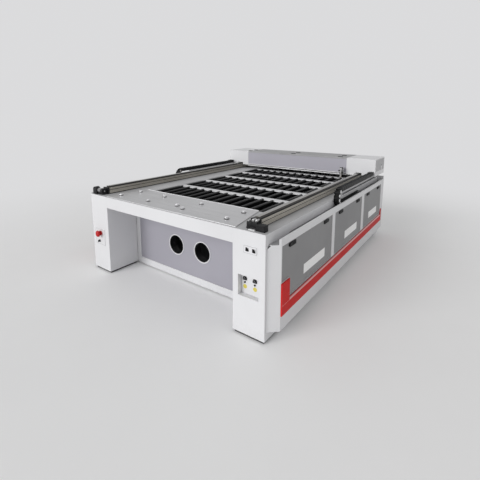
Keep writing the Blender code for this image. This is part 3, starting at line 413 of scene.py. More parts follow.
def turned(profile, place, axis, sides):
    """Turns (radius, distance) points about a line through place along axis."""
    shape = bmesh.new()
    points = [shape.verts.new((radius, 0, along)) for radius, along in profile]
    edges = [shape.edges.new(pair) for pair in zip(points, points[1:])]
    bmesh.ops.spin(
        shape, geom=points + edges, cent=(0, 0, 0), axis=upward, angle=math.tau, steps=sides,
        use_merge=True,
    )
    bmesh.ops.remove_doubles(shape, verts=shape.verts, dist=1e-6)
    bmesh.ops.recalc_face_normals(shape, faces=shape.faces)
    return softened(laid_along(shape, place, axis), 0)


def ring(inner, outer, place, axis, height, sides, soft):
    """A flat ring that starts at place."""
    rim = [(outer, height - soft), (outer - soft, height)]
    return turned([(inner, 0), (outer, 0), *rim, (inner, height), (inner, 0)], place, axis, sides)


def prism(outline, axis, span, soft=0.0, steps=2):
    """Extrudes an outline along an axis: of (x, z) points along y, or of (x, y) points along z."""
    def placed(a, b, along):
        return Vector((a, along, b) if axis == "y" else (a, b, along))

    shape = bmesh.new()
    first = shape.faces.new([shape.verts.new(placed(a, b, span[0])) for a, b in outline])
    extruded = bmesh.ops.extrude_face_region(shape, geom=[first])["geom"]
    moved = [part for part in extruded if isinstance(part, bmesh.types.BMVert)]
    way = placed(0, 0, span[1]) - placed(0, 0, span[0])
    bmesh.ops.translate(shape, vec=way, verts=moved)
    bmesh.ops.recalc_face_normals(shape, faces=shape.faces)
    return softened(shape, soft, steps)


def bolt_head(radius, place):
    """An upright bolt's washer, chamfered hexagon and small raised face."""
    washer, tall, seat = 0.0205, 0.014, 0.002
    x, y, z = place
    top = z + seat + tall
    head = rod(radius, (x, y, z + seat), (x, y, top), 6, 0.0016, 2)
    face = rod(radius * 0.72, (x, y, top - sunk), (x, y, top + 0.0006), 20, 0.0003)
    return joined([head, face], [rod(washer, place, (x, y, z + seat), 24, 0.0006)])


def joined(*groups):
    """Puts shapes in one. Each group after the first takes the finish of its number."""
    total = bmesh.new()
    total.faces.layers.float.new("edge")
    for index, shapes in enumerate(groups):
        for shape in shapes:
            for part in shape.faces:
                part.material_index = index or part.material_index
            copy = bpy.data.meshes.new("copy")
            shape.to_mesh(copy)
            shape.free()
            total.from_mesh(copy)
            bpy.data.meshes.remove(copy)
    return total


def piece(name, shape, names, body="base", nodes=(), smooth=False):
    """Makes a shape a piece on a body, in place of nodes. names are its finishes, with spaces."""
    mesh = bpy.data.meshes.new(name)
    shape.to_mesh(mesh)
    shape.free()
    for key in names.split():
        mesh.materials.append(looks[key])
    if smooth:
        mesh.shade_smooth()
        mesh.set_sharp_from_angle(angle=math.radians(35))
    else:
        mesh.shade_flat()
    obj = bpy.data.objects.new(name, mesh)
    bpy.context.scene.collection.objects.link(obj)
    if body:
        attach(obj, body)
    if nodes:
        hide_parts(*nodes)
    return obj


def copied(node):
    """A merged copy of a CAD node's mesh, with flat faces made whole."""
    shape = bmesh.new()
    shape.from_mesh(frame["nodes"][node].data)
    shape.faces.layers.float.new("edge")
    bmesh.ops.remove_doubles(shape, verts=shape.verts, dist=2e-5)
    flat = math.radians(0.6)
    bmesh.ops.dissolve_limit(shape, angle_limit=flat, verts=shape.verts, edges=shape.edges)
    return shape


def dressed(node, names, slot, soft=0.002, steps=2, chosen=None, pick=None, extra=(), smooth=False):
    """A CAD node's shape with rounded edges, which replaces it. pick gives a face its finish."""
    shape = softened(copied(node), soft, steps, 40, chosen)
    if pick:
        for part in shape.faces:
            part.material_index = int(pick(part.calc_center_median(), part.normal))
    if extra:
        shape = joined([shape, *extra])
    piece(f"{node}_shell", shape, names, frame["nodes"][node]["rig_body"], [node], smooth)


def longer(length):
    return lambda a, b: (a - b).length > length


def centre(node):
    low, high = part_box(node)
    return (low + high) / 2


def finish_color(name, description, default):
    return FloatVectorProperty(
        name=name, description=description, subtype="COLOR", default=default
    )


def detail_size(name, description, default):
    return FloatProperty(name=name, description=description, unit="LENGTH", default=default)


class CutterColors(bpy.types.PropertyGroup):
    """Colours of the machine's finishes."""

    white: finish_color("White enamel", "Base, cabinets and gantry caps", (0.72, 0.72, 0.735))
    panel: finish_color("Panel grey", "Duct panel, cover and inner units", (0.40, 0.39, 0.44))
    door: finish_color("Door grey", "Service doors", (0.27, 0.27, 0.275))
    red: finish_color("Trim red", "Strip under the doors", (0.58, 0.012, 0.012))
    deck: finish_color("Deck grey", "Level tops beside the bed", (0.50, 0.50, 0.51))
    # its grey on the tray floors is painted shade
    tray: finish_color("Tray grey", "Floor of the chain trays", (0.36, 0.36, 0.37))
    lid: finish_color("Lid grey", "Lid of the gantry", (0.32, 0.32, 0.325))
    steel: finish_color("Plate steel", "Bolted plate before the slats", (0.58, 0.58, 0.585))
    rail: finish_color("Rail aluminium", "Beams under the guide rails", (0.36, 0.34, 0.30))
    slat: finish_color("Slat black", "Coat of the slat bars", (0.011, 0.011, 0.012))


class CutterSizes(bpy.types.PropertyGroup):
    """Sizes of details that the model leaves to this script."""

    housing_edge: detail_size("Housing edge", "Rounding of painted edges", 0.0022)
    cap_edge: detail_size("Cap edge", "Rounding of the gantry caps", 0.0045)
    bolt_radius: detail_size("Bolt radius", "Plate bolt's corner radius", 0.0170)
    slat_radius: detail_size("Slat radius", "Round crown of a slat", 0.0135)
    slat_reach: detail_size("Slat reach", "How far slats reach into their bar", 0.020)
    slat_pitch: detail_size("Slat pitch", "Distance between slats", 0.104)
    slat_count: IntProperty(name="Slats in a row", description="Bars across the bed", default=13)
    crossbar: detail_size("Crossbar", "Width of the bars under the slats", 0.080)
    crossbar_drop: detail_size("Crossbar drop", "Bars under the deck's top", 0.0045)
    bar_plate: detail_size("Bar plate", "White top plate of a crossbar", 0.007)
    chain_link: detail_size("Chain link", "Pitch of the cable chain", 0.052)
    plug_pitch: detail_size("Plug pitch", "Distance between rail screws", 0.060)


class CutterStage(bpy.types.PropertyGroup):
    """Camera, lamps and floor."""

    camera_place: FloatVectorProperty(
        name="Camera place", description="Where the camera stands", subtype="TRANSLATION",
        default=(2.027, -3.070, 1.474),
    )
    camera_turn: FloatProperty(
        name="Camera turn", description="Heading left of straight back", default=0.633,
        subtype="ANGLE",
    )
    camera_dip: FloatProperty(
        name="Camera dip", description="Angle below level", default=0.153, subtype="ANGLE"
    )
    lens: FloatProperty(name="Lens", description="Focal length in millimetres", default=24.70)
    shift_x: FloatProperty(name="Shift across", description="Picture shift across", default=0.0045)
    shift_y: FloatProperty(name="Shift up", description="Picture shift upward", default=-0.145)
    backdrop: finish_color("Backdrop", "Colour behind the machine", (0.71, 0.71, 0.72))
    floor: finish_color("Floor", "Colour of the floor", (0.93, 0.93, 0.93))
    ambient: FloatProperty(name="Ambient", description="Light from all round", default=0.62)
    key_power: FloatProperty(name="Key lamp", description="Low lamp in front", default=1.78)
    fill_power: FloatProperty(name="Fill lamp", description="Lamp at the right", default=0.20)


class CutterOperator:
    """What the machine's operators share."""

    bl_options = {"REGISTER", "UNDO"}

    def execute(self, context):
        self.build(context.scene.cutter_sizes, context.scene)
        return {"FINISHED"}


class CUTTER_OT_stage(CutterOperator, bpy.types.Operator):
    """Camera, lamps, backdrop and floor"""

    bl_idname = "cutter.stage"
    bl_label = "Stage"

    def build(self, sizes, scene):
        stage = scene.cutter_stage
        self.camera(stage, scene)
        self.lamps(stage, scene)
        self.surroundings(stage, scene)
        self.floor(stage, scene)
        scene.view_settings.view_transform = "Standard"

    def aimed(self, name, data, place, ahead, scene):
        """Adds a camera or a lamp that looks ahead from its place."""
        made = bpy.data.objects.new(name, data)
        scene.collection.objects.link(made)
        made.location = place
        made.rotation_mode = "QUATERNION"
        made.rotation_quaternion = ahead.to_track_quat("-Z", "Y")
        return made

    def camera(self, stage, scene):
        data = bpy.data.cameras.new("camera")
        data.sensor_width = 36
        data.lens = stage.lens
        data.shift_x = stage.shift_x
        data.shift_y = stage.shift_y
        data.clip_end = 200
        level, dip = math.cos(stage.camera_dip), math.sin(stage.camera_dip)
        turn = stage.camera_turn
        ahead = Vector((-math.sin(turn) * level, math.cos(turn) * level, -dip))
        scene.camera = self.aimed("camera", data, stage.camera_place, ahead, scene)

    def lamps(self, stage, scene):
        bed = Vector((0, -0.2, 0.5))
        for name, place, angle, power in (
            ("key_lamp", (-3.0, -8.0, 3.2), 0.6, stage.key_power),
            ("fill_lamp", (7.0, -1.0, 2.4), 0.8, stage.fill_power),
        ):
            data = bpy.data.lights.new(name, "SUN")
            data.angle = angle
            data.energy = power
            self.aimed(name, data, place, bed - Vector(place), scene)

    def surroundings(self, stage, scene):
        """A plain light all round, and the backdrop's colour for what the camera and gloss see."""
        world = bpy.data.worlds.new("studio")
        world.use_nodes = True
        scene.world = world
        sky = Nodes(world.node_tree)
        sky.tree.nodes.clear()
        camera, glossy, clear = (sky.ray(kind) for kind in ("Camera", "Glossy", "Transmission"))
        seen = camera.combined("MAXIMUM", camera.combined("MAXIMUM", camera, glossy), clear)
        light = sky.node("ShaderNodeBackground", {}, {"Strength": stage.ambient})
        behind = sky.node("ShaderNodeBackground", {}, {"Color": (*stage.backdrop, 1)})
        sky.shown(sky.tree.nodes.new("ShaderNodeOutputWorld"), light, behind, seen)

    def floor(self, stage, scene):
        """A wide floor that fades into the backdrop far from the machine."""
        shape = bmesh.new()
        bmesh.ops.create_circle(shape, cap_ends=True, radius=60, segments=64)
        mesh = bpy.data.meshes.new("floor")
        shape.to_mesh(mesh)
        shape.free()
        floor = bpy.data.objects.new("floor", mesh)
        scene.collection.objects.link(floor)
        look = Look("studio_floor")
        color = look.tones(stage.floor, 0.985, 1.01, look.noise(3, 2))
        look.done(Base_Color=color, Roughness=0.75, Specular_IOR_Level=0.15)
        far = look.node("ShaderNodeVectorMath", {"operation": "LENGTH"}, {0: look.place()}, "Value")
        share = (far.span(1.6, 6.0) * 0.92 + 0.08) * look.ray("Camera")
        glow = look.node("ShaderNodeEmission", {}, {"Color": (*stage.backdrop, 1)})
        surface = Value(look, look.shader.outputs[0])
        look.shown(look.tree.nodes["Material Output"], surface, glow, share)
        mesh.materials.append(look.material)


class CUTTER_OT_base(CutterOperator, bpy.types.Operator):
    """Front portal, decks, rear frame and hopper"""

    bl_idname = "cutter.base"
    bl_label = "Base"

    def build(self, sizes, scene):
        soft = sizes.housing_edge
        tops = {"names": "white deck", "slot": "white_paint", "pick": self.level}
        dressed("front_beam", soft=soft, chosen=self.open_edge, **tops)
        for word in both_sides:
            self.leg(f"{word}_leg", soft)
        for word in both_sides:
            dressed(f"{word}_deck", soft=soft / 2, **tops)
        dressed("rear_frame", "white", "white_paint", soft)
        for material_slot in frame["nodes"]["slag_hopper"].material_slots:
            material_slot.material = looks["hopper"]

    def open_edge(self, a, b):
        """Leaves the welded seams between the beam and the legs sharp."""
        at_leg = min(abs(a.x), abs(b.x)) > beam_end - 0.004
        return not (at_leg and abs(abs(a.x) - abs(b.x)) < 1e-4)

    def level(self, at, normal):
        return at.z > deck_top - 0.0005 and normal.z > 0.9

    def leg(self, node, soft):
        """A box leg whose foot, deck and ring round the stop button have their own finishes."""
        button, button_ring, proud, foot = centre("estop_button"), 0.0225, front - 0.0032, 0.0181
        shape = copied(node)
        parts = shape.verts[:] + shape.edges[:] + shape.faces[:]
        bmesh.ops.bisect_plane(shape, geom=parts, plane_co=(0, 0, beam_under), plane_no=upward)

        def chosen(a, b):
            inner = max(abs(abs(a.x) - beam_end), abs(abs(b.x) - beam_end)) < 0.002
            return (a - b).length > 0.012 and not (inner and min(a.z, b.z) > beam_under - 0.001)

        shape = softened(shape, soft, 2, 40, chosen)
        for part in shape.faces:
            at = part.calc_center_median()
            if at.z < foot:
                part.material_index = 1
            elif self.level(at, part.normal):
                part.material_index = 3
            elif at.y < proud and math.hypot(at.x - button.x, at.z - button.z) < button_ring:
                part.material_index = 2
        piece(f"{node}_shell", shape, "white foot black deck", nodes=[node])


class CUTTER_OT_duct_wall(CutterOperator, bpy.types.Operator):
    """Recessed frame, grey panel and duct collars"""

    bl_idname = "cutter.duct_wall"
    bl_label = "Duct wall"

    def build(self, sizes, scene):
        dressed("duct_frame", "white", "white_paint", sizes.housing_edge)
        dressed("duct_panel", "duct", "light_gray_paint", 0.0012, 1, longer(0.05))
        low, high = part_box("duct_panel")
        inset, proud = 0.03, 0.0016
        screws = [
            rod(0.0045, (x, low.y + sunk, z), (x, low.y - proud, z), 14, 0.0008)
            for x in (low.x + inset, (low.x + high.x) / 2, high.x - inset)
            for z in (low.z + inset, high.z - inset)
        ]
        piece("panel_screws", joined(screws), "panel")
        for word in both_sides:
            self.collar(f"{word}_duct_collar")

    def collar(self, node):
        """A rolled white rim that is black inside as painted shade."""
        low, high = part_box(node)
        place = Vector(((low.x + high.x) / 2, low.y, (low.z + high.z) / 2))
        outer, deep = (high.x - low.x) / 2, 0.080
        wall = outer - 0.0045
        inner, neck = wall - 0.005, wall - 0.001
        profile = [
            (inner, deep), (inner, 0.004), (wall - 0.002, 0), (outer - 0.0015, 0), (outer, 0.0015),
            (outer, 0.0035), (neck, 0.0037), (neck, deep), (inner, deep),
        ]
        rim = turned(profile, place, backward, 64)
        for part in rim.faces:
            at = part.calc_center_median() - place
            # painted shade: the inner wall of the collar is black
            part.material_index = int(at.y > 0.005 and math.hypot(at.x, at.z) < wall - 0.0035)
        piece(f"{node}_rim", rim, "white black", nodes=[node], smooth=True)


class CUTTER_OT_controls(CutterOperator, bpy.types.Operator):
    """Stop button, key switch, port plate and socket recess"""

    bl_idname = "cutter.controls"
    bl_label = "Controls"

    def build(self, sizes, scene):
        self.stop_button()
        self.key_switch()
        self.plate_borders()
        self.ports()
        self.sockets()

    def stop_button(self):
        low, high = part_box("estop_button")
        x, z = (low.x + high.x) / 2, (low.z + high.z) / 2
        radius, stem, end = (high.x - low.x) / 2, 0.0118, high.y - low.y
        head = (
            (0, 0), (0.35, 0.0005), (0.62, 0.0022), (0.83, 0.0060), (0.95, 0.0110), (1, 0.0165),
            (0.985, 0.0190), (0.93, 0.0205), (0.88, 0.0220), (0.62, 0.0240),
        )
        profile = [(radius * share, deep) for share, deep in head]
        profile += [(0.0125, 0.0250), (stem, 0.0262), (stem, end), (0, end)]
        cap = turned(profile, (x, low.y, z), backward, 48)
        piece("stop_button_cap", cap, "mushroom", "estop", ["estop_button"], True)
        bezel = ring(0.0135, 0.0235, (x, front - 0.0031, z), forward, 0.0085, 40, 0.002)
        piece("stop_button_bezel", bezel, "mushroom", smooth=True)

    def key_switch(self):
        key = centre("key_switch")
        shape = softened(copied("key_switch"), 0.0007, 2, 40, longer(0.004))
        piece("key_switch_body", shape, "black", "key", ["key_switch"])
        collar = ring(0.0125, 0.0155, (key.x, front - 0.0031, key.z), forward, 0.0035, 32, 0.001)
        piece("key_switch_collar", collar, "bolt", smooth=True)

    def plate_borders(self):
        """A thin line round the stop button's plate and the ports' plate."""
        wide, rows = 0.0012, []
        for x, z in (((-0.953, -0.801), (0.269, 0.421)), ((0.834, 0.936), (0.608, 0.658))):
            sides = [(x, (z[0], z[0] + wide)), (x, (z[1] - wide, z[1]))]
            sides += [((x[0], x[0] + wide), z), ((x[1] - wide, x[1]), z)]
            rows += [(along, (-0.0036, -0.002), up) for along, up in sides]
        piece("plate_borders", joined(seated(0, rows)), "shadow")

    def ports(self):
        """Two square sockets with a frame, an inner block cut at a slant and a bright wedge that is
        a painted glint.
        """
        z, half, wall, floor, near, far = 0.633, 0.0127, 0.002, front + 0.0106, 0.0095, 0.0060
        blocks, glint_wedges = [], []
        for x in (0.861, 0.914):
            start, end = (x - half, front - 0.0042, z - half), (x + half, floor + sunk, z + half)
            outer = box(start, end, 0.0006, 1)
            face = max(outer.faces, key=lambda f: -f.calc_center_median().y * f.calc_area())
            bmesh.ops.inset_individual(outer, faces=[face], thickness=wall, depth=0)
            bmesh.ops.translate(outer, vec=(0, floor - front, 0), verts=face.verts[:])
            slant = [(x - near, z - near), (x + near, z - near), (x - near, z + near)]
            blocks += [outer, prism(slant, "y", (front + 0.0005, floor), 0.0005, 1)]
            # painted highlight: a bright zinc wedge for the glint across each socket
            glint_outline = [(x + near, z - far), (x + near, z + near), (x - far, z + near)]
            glint_wedges.append(prism(glint_outline, "y", (front + 0.004, floor), 0.0005, 1))
        piece("port_inserts", joined(blocks, glint_wedges), "black bolt")

    def sockets(self):
        """Black sockets with arched tops, small switches and plain yellow plates in the recess."""
        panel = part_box("socket_panel")[0].y
        dressed(
            "socket_panel", "white black", "white_paint", 0.0006, 1, longer(0.004),
            lambda at, normal: at.y < panel + 0.0055,
        )
        face = panel + 0.006
        seat = face + 0.0002
        half, foot, shoulder, rise, switch, disc = 0.0145, 0.392, 0.4045, 0.0125, 0.375, 0.343
        fittings, pins, plates = [], [], []
        for x in (0.816, 0.8975):
            arch = [(x - half, foot), (x + half, foot)]
            for step in range(9):
                angle = math.pi * step / 8
                arch.append((x + half * math.cos(angle), shoulder + rise * math.sin(angle)))
            fittings.append(prism(arch, "y", (face - 0.0085, seat), 0.0008, 2))
            start, end = (x, face - 0.0075, switch), (x, seat, switch)
            fittings.append(rod(0.0062, start, end, 20, 0.0012, 2))
            for pin, z in ((x - 0.005, 0.401), (x + 0.005, 0.401), (x, 0.409)):
                pins.append(rod(0.0016, (pin, face - 0.0083, z), (pin, face - 0.0088, z), 12))
            start, end = (x - 0.017, face - 0.0009, 0.4215), (x + 0.017, seat, 0.4285)
            plates.append(box(start, end, 0.0003, 1))
            plates.append(rod(0.0155, (x, face - 0.0011, disc), (x, seat, disc), 32, 0.0004))
        piece("socket_fittings", joined(fittings, pins), "black bolt")
        piece("socket_plates", joined(plates), "yellow")


class CUTTER_OT_deck_plate(CutterOperator, bpy.types.Operator):
    """Brushed plate before the slats, with its bolts"""

    bl_idname = "cutter.deck_plate"
    bl_label = "Deck plate"

    def build(self, sizes, scene):
        low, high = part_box("front_deck_plate")
        taper, top = 0.083, low.z + 0.006
        left, right = low.x + taper, high.x - taper
        outline = [(low.x, low.y), (high.x, low.y), (right, high.y), (left, high.y)]
        plate = prism(outline, "z", (low.z, top), 0.0012, 2)
        # painted highlight: the plate's sides take the pale plate finish
        for part in plate.faces:
            part.material_index = int(abs(part.normal.z) < 0.3)
        # a pale lip along the rear edge is a painted highlight
        highlight_lip = box((left, high.y - 0.007, top - 0.0008), (right, high.y, top + 0.0028), 0.0004, 1)
        shape = joined([plate], [highlight_lip])
        piece("front_plate", shape, "steel plate", nodes=["front_deck_plate"])
        rows = (
            (0.115, (-0.670, -0.280, 0.147, 0.600)),
            (0.158, (0.043,)),
            (0.315, (-0.640, -0.290, 0.170, 0.610)),
        )
        places = [(x, front + behind, top) for behind, row in rows for x in row]
        bolts = [bolt_head(sizes.bolt_radius, place) for place in places]
        piece("plate_bolts", joined(bolts), "bolt flank")


class CUTTER_OT_slat_bed(CutterOperator, bpy.types.Operator):
    """Rows of round-topped slats on white crossbars"""

    bl_idname = "cutter.slat_bed"
    bl_label = "Slat bed"

    def build(self, sizes, scene):
        for number in range(1, 7):
            node = f"slat_row_{number}"
            low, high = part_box(node)
            middle, last = (low.x + high.x) / 2, sizes.slat_count - 1
            places = [middle + (i - last / 2) * sizes.slat_pitch for i in range(last + 1)]
            bar_front = high.y - sizes.crossbar
            end = bar_front + sizes.slat_reach
            slats = [self.slat(x, low.y, end, high.z, sizes.slat_radius) for x in places]
            piece(f"slats_{number}", joined(slats), "slat", nodes=[node], smooth=True)
            self.crossbar(number, places, bar_front, end, sizes)

    def slat(self, x, start, end, top, radius):
        """A round bar with domed ends over a flat web."""
        angles = [step * math.pi / 8 for step in range(5)]
        dome = [(radius * math.sin(a), radius * (1 - math.cos(a))) for a in angles]
        profile = dome + [(reach, end - start - along) for reach, along in dome[::-1]]
        bar = turned(profile, (x, start, top - radius), backward, 16)
        low, high = (x - 0.006, start + 0.004, top - 0.045), (x + 0.006, end - 0.012, top - radius)
        return joined([bar, box(low, high, 0.0008, 1)])

    def crossbar(self, number, places, bar_front, end, sizes):
        """A white plate notched round each slat, over a dark bar."""
        low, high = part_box(f"slat_row_{number}")
        top = deck_top - sizes.crossbar_drop
        seam = top - sizes.bar_plate
        notch, narrowest, soft = sizes.slat_radius + 0.0012, 0.004, 0.0012
        plates = [box((low.x, end, seam), (high.x, high.y, top), soft)]
        starts = [low.x] + [x + notch for x in places]
        stops = [x - notch for x in places] + [high.x]
        for start, stop in zip(starts, stops):
            if stop - start > narrowest:
                plates.append(box((start, bar_front, seam), (stop, end + 0.0005, top), soft))
        near, far = (low.x + sunk, end + 0.002, low.z), (high.x - sunk, high.y - 0.004, seam + sunk)
        shape = joined(plates, [box(near, far, 0.001)])
        piece(f"crossbar_{number}", shape, "white hopper")


class CUTTER_OT_rails(CutterOperator, bpy.types.Operator):
    """Rail beams, guide rails with plugs, and the blocks at their front ends"""

    bl_idname = "cutter.rails"
    bl_label = "Rails"

    def build(self, sizes, scene):
        for word in both_sides:
            # the right beam's lighter finish is painted light
            self.beam(f"{word}_rail_beam", f"{word}_rail")
            self.guide(word, sizes.plug_pitch)
        self.right_end()
        self.left_end()

    def guide(self, word, pitch):
        """A guide rail, ground on top, whose near-black flanks are painted shade, with a plug in
        each screw hole.
        """
        node, inset = f"{word}_guide_rail", 0.02
        # painted shade: the flanks take a near-black steel, the top a lighter ground steel
        dressed(node, "flank guide", "bright_steel", 0, pick=lambda at, normal: normal.z > 0.9)
        low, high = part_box(node)
        x, start, end = (low.x + high.x) / 2, high.z - sunk, high.z + 0.00015
        count = int((high.y - low.y - 2 * inset) / pitch) + 1
        places = [low.y + inset + step * pitch for step in range(count)]
        plugs = [rod(0.0068, (x, y, start), (x, y, end), 14) for y in places]
        piece(f"{word}_rail_plugs", joined(plugs), "shadow")

    def beam(self, node, finish):
        """Extruded beam with a stepped foot and grooves along both sides; its top is black, and its
        foot's step and wide groove are black as painted shade.
        """
        low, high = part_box(node)
        middle, wide = (low.x + high.x) / 2, (high.x - low.x) / 2
        step, foot, groove, slot = 0.006, low.z + 0.008, 0.0016, 0.0024
        tall = high.z - foot
        profile = [(wide - step, low.z), (wide - step, foot), (wide, foot)]
        for number in range(4):
            open_high = slot * 2.2 if number == 2 else slot
            start = foot + tall * (number + 1) / 5 - open_high / 2
            edges = (wide, wide - groove, wide - groove, wide)
            profile += zip(edges, (start, start, start + open_high, start + open_high))
        profile.append((wide, high.z))
        outline = [(middle + x, z) for x, z in profile]
        outline += [(middle - x, z) for x, z in reversed(profile)]
        shape = prism(outline, "y", (low.y, high.y))
        for part in shape.faces:
            at = part.calc_center_median()
            inside = abs(at.x - middle) < wide - groove / 2 and abs(part.normal.x) > 0.9
            deep = inside and abs(at.z - foot - tall * 0.6) < slot
            # painted shade: black on the foot's step and in the wide groove; the top is black too
            part.material_index = int(part.normal.z > 0.9 or at.z < foot or deep)
        piece(f"{node}_profile", shape, f"{finish} black", nodes=[node])

    def right_end(self):
        """Black end block and plate with a bracket, two buffers and a lever."""
        low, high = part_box("right_rail_stop")
        z, axle = low.z, low.z + 0.060
        black = seated(z, (
            ((0.9047, 0.9743), (0.030, 0.074), (0, 0.045), 0.003, 3),
            ((0.9095, 0.9697), (0.0285, 0.032), (0.006, 0.039), 0.001, 1),
            ((0.8327, 0.9083), (0.080, 0.0958), (0, high.z - z), 0.0015),
            ((0.8357, 0.9135), (0.034, 0.084), (0, 0.018), 0.0015),
            ((0.8227, 0.8603), (0.045, 0.082), (0, 0.048), 0.002),
            ((0.8287, 0.8563), (0.030, 0.047), (0.008, 0.016), 0.0015),
            ((0.8597, 0.9037), (0.046, 0.081), (0.001, 0.054), 0.0015),
        ))
        black += [
            rod(0.0042, (x, front + 0.0290, up), (x, front + 0.0272, up), 16, 0.0006)
            for x in (0.918, 0.961) for up in (z + 0.012, z + 0.033)
        ]
        silver = []
        for x, start in ((0.8705, front + 0.048), (0.8945, front + 0.050)):
            for radius, near, far, *form in (
                (0.0090, start, front + 0.084, 24, 0.0015, 2),
                (0.0108, start + 0.010, start + 0.018, 6, 0.0008),
                (0.0050, start - 0.006, start, 16, 0.001),
            ):
                silver.append(rod(radius, (x, near, axle), (x, far, axle), *form))
        lever = (0.8345, front + 0.055)
        silver.append(rod(0.0060, (*lever, z + 0.047), (*lever, z + 0.052), 6, 0.0008))
        strip = seated(z, [((0.8520, 0.9000), (0.020, 0.036), (0.0002, 0.0065), 0.0008, 1)])
        self.end_block("right", joined(black, silver, strip), "plate")

    def left_end(self):
        """Round-topped black block, ribbed silver coupling and a bracket over the edge."""
        z, middle, wide, rise = deck_top + 0.0003, -0.958, 0.032, 0.026
        y, axle, shoulder = front + 0.045, z + 0.036, z + 0.045
        beam_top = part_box("left_rail_beam")[1].z - z
        outline = [(middle - wide, z), (middle + wide, z), (middle + wide, shoulder)]
        for step in range(1, 12):
            angle = math.pi * step / 12
            outline.append((middle + wide * math.cos(angle), shoulder + rise * math.sin(angle)))
        outline.append((middle - wide, shoulder))
        black = [
            prism(outline, "y", (front + 0.016, front + 0.060), 0.003, 2),
            *seated(z, (
                ((-0.9225, -0.8445), (0.030, 0.060), (0, 0.034), 0.002),
                ((-0.9175, -0.8485), (0.033, 0.084), (0, 0.018), 0.002),
                ((-0.9125, -0.8365), (0.080, 0.0958), (0, beam_top + 0.002), 0.0015),
            )),
            rod(0.0120, (-0.8440, y, axle), (-0.8360, y, axle), 24, 0.001),
            rod(0.0265, (-0.8720, y, axle), (-0.8430, y, axle), 40, 0.0025, 2),
        ]
        crest, low, end = 0.022, 0.0195, 0.0455
        ribs = [(0, 0), (0.020, 0)]
        for at in (0.002 + step * 0.0088 for step in range(5)):
            ribs += [(crest, at), (crest, at + 0.0052), (low, at + 0.0060), (low, at + 0.0080)]
        silver = [
            turned([*ribs, (low, end), (0, end)], (-0.9300, y, axle), across, 40),
            rod(0.0060, (-0.8860, y, axle), (-0.8340, y, axle), 20, 0.001),
        ]
        bracket = seated(z, (
            ((-1.0220, -0.9620), (0.018, 0.068), (0, 0.008), 0.0015),
            ((-1.0220, -1.0005), (0.018, 0.068), (-0.060, 0.004), 0.0015),
        ))
        self.end_block("left", joined(black, silver, bracket), "shadow")

    def end_block(self, word, shape, finish):
        names, nodes = f"black zinc {finish}", [f"{word}_rail_stop"]
        piece(f"{word}_end_block", shape, names, nodes=nodes, smooth=True)


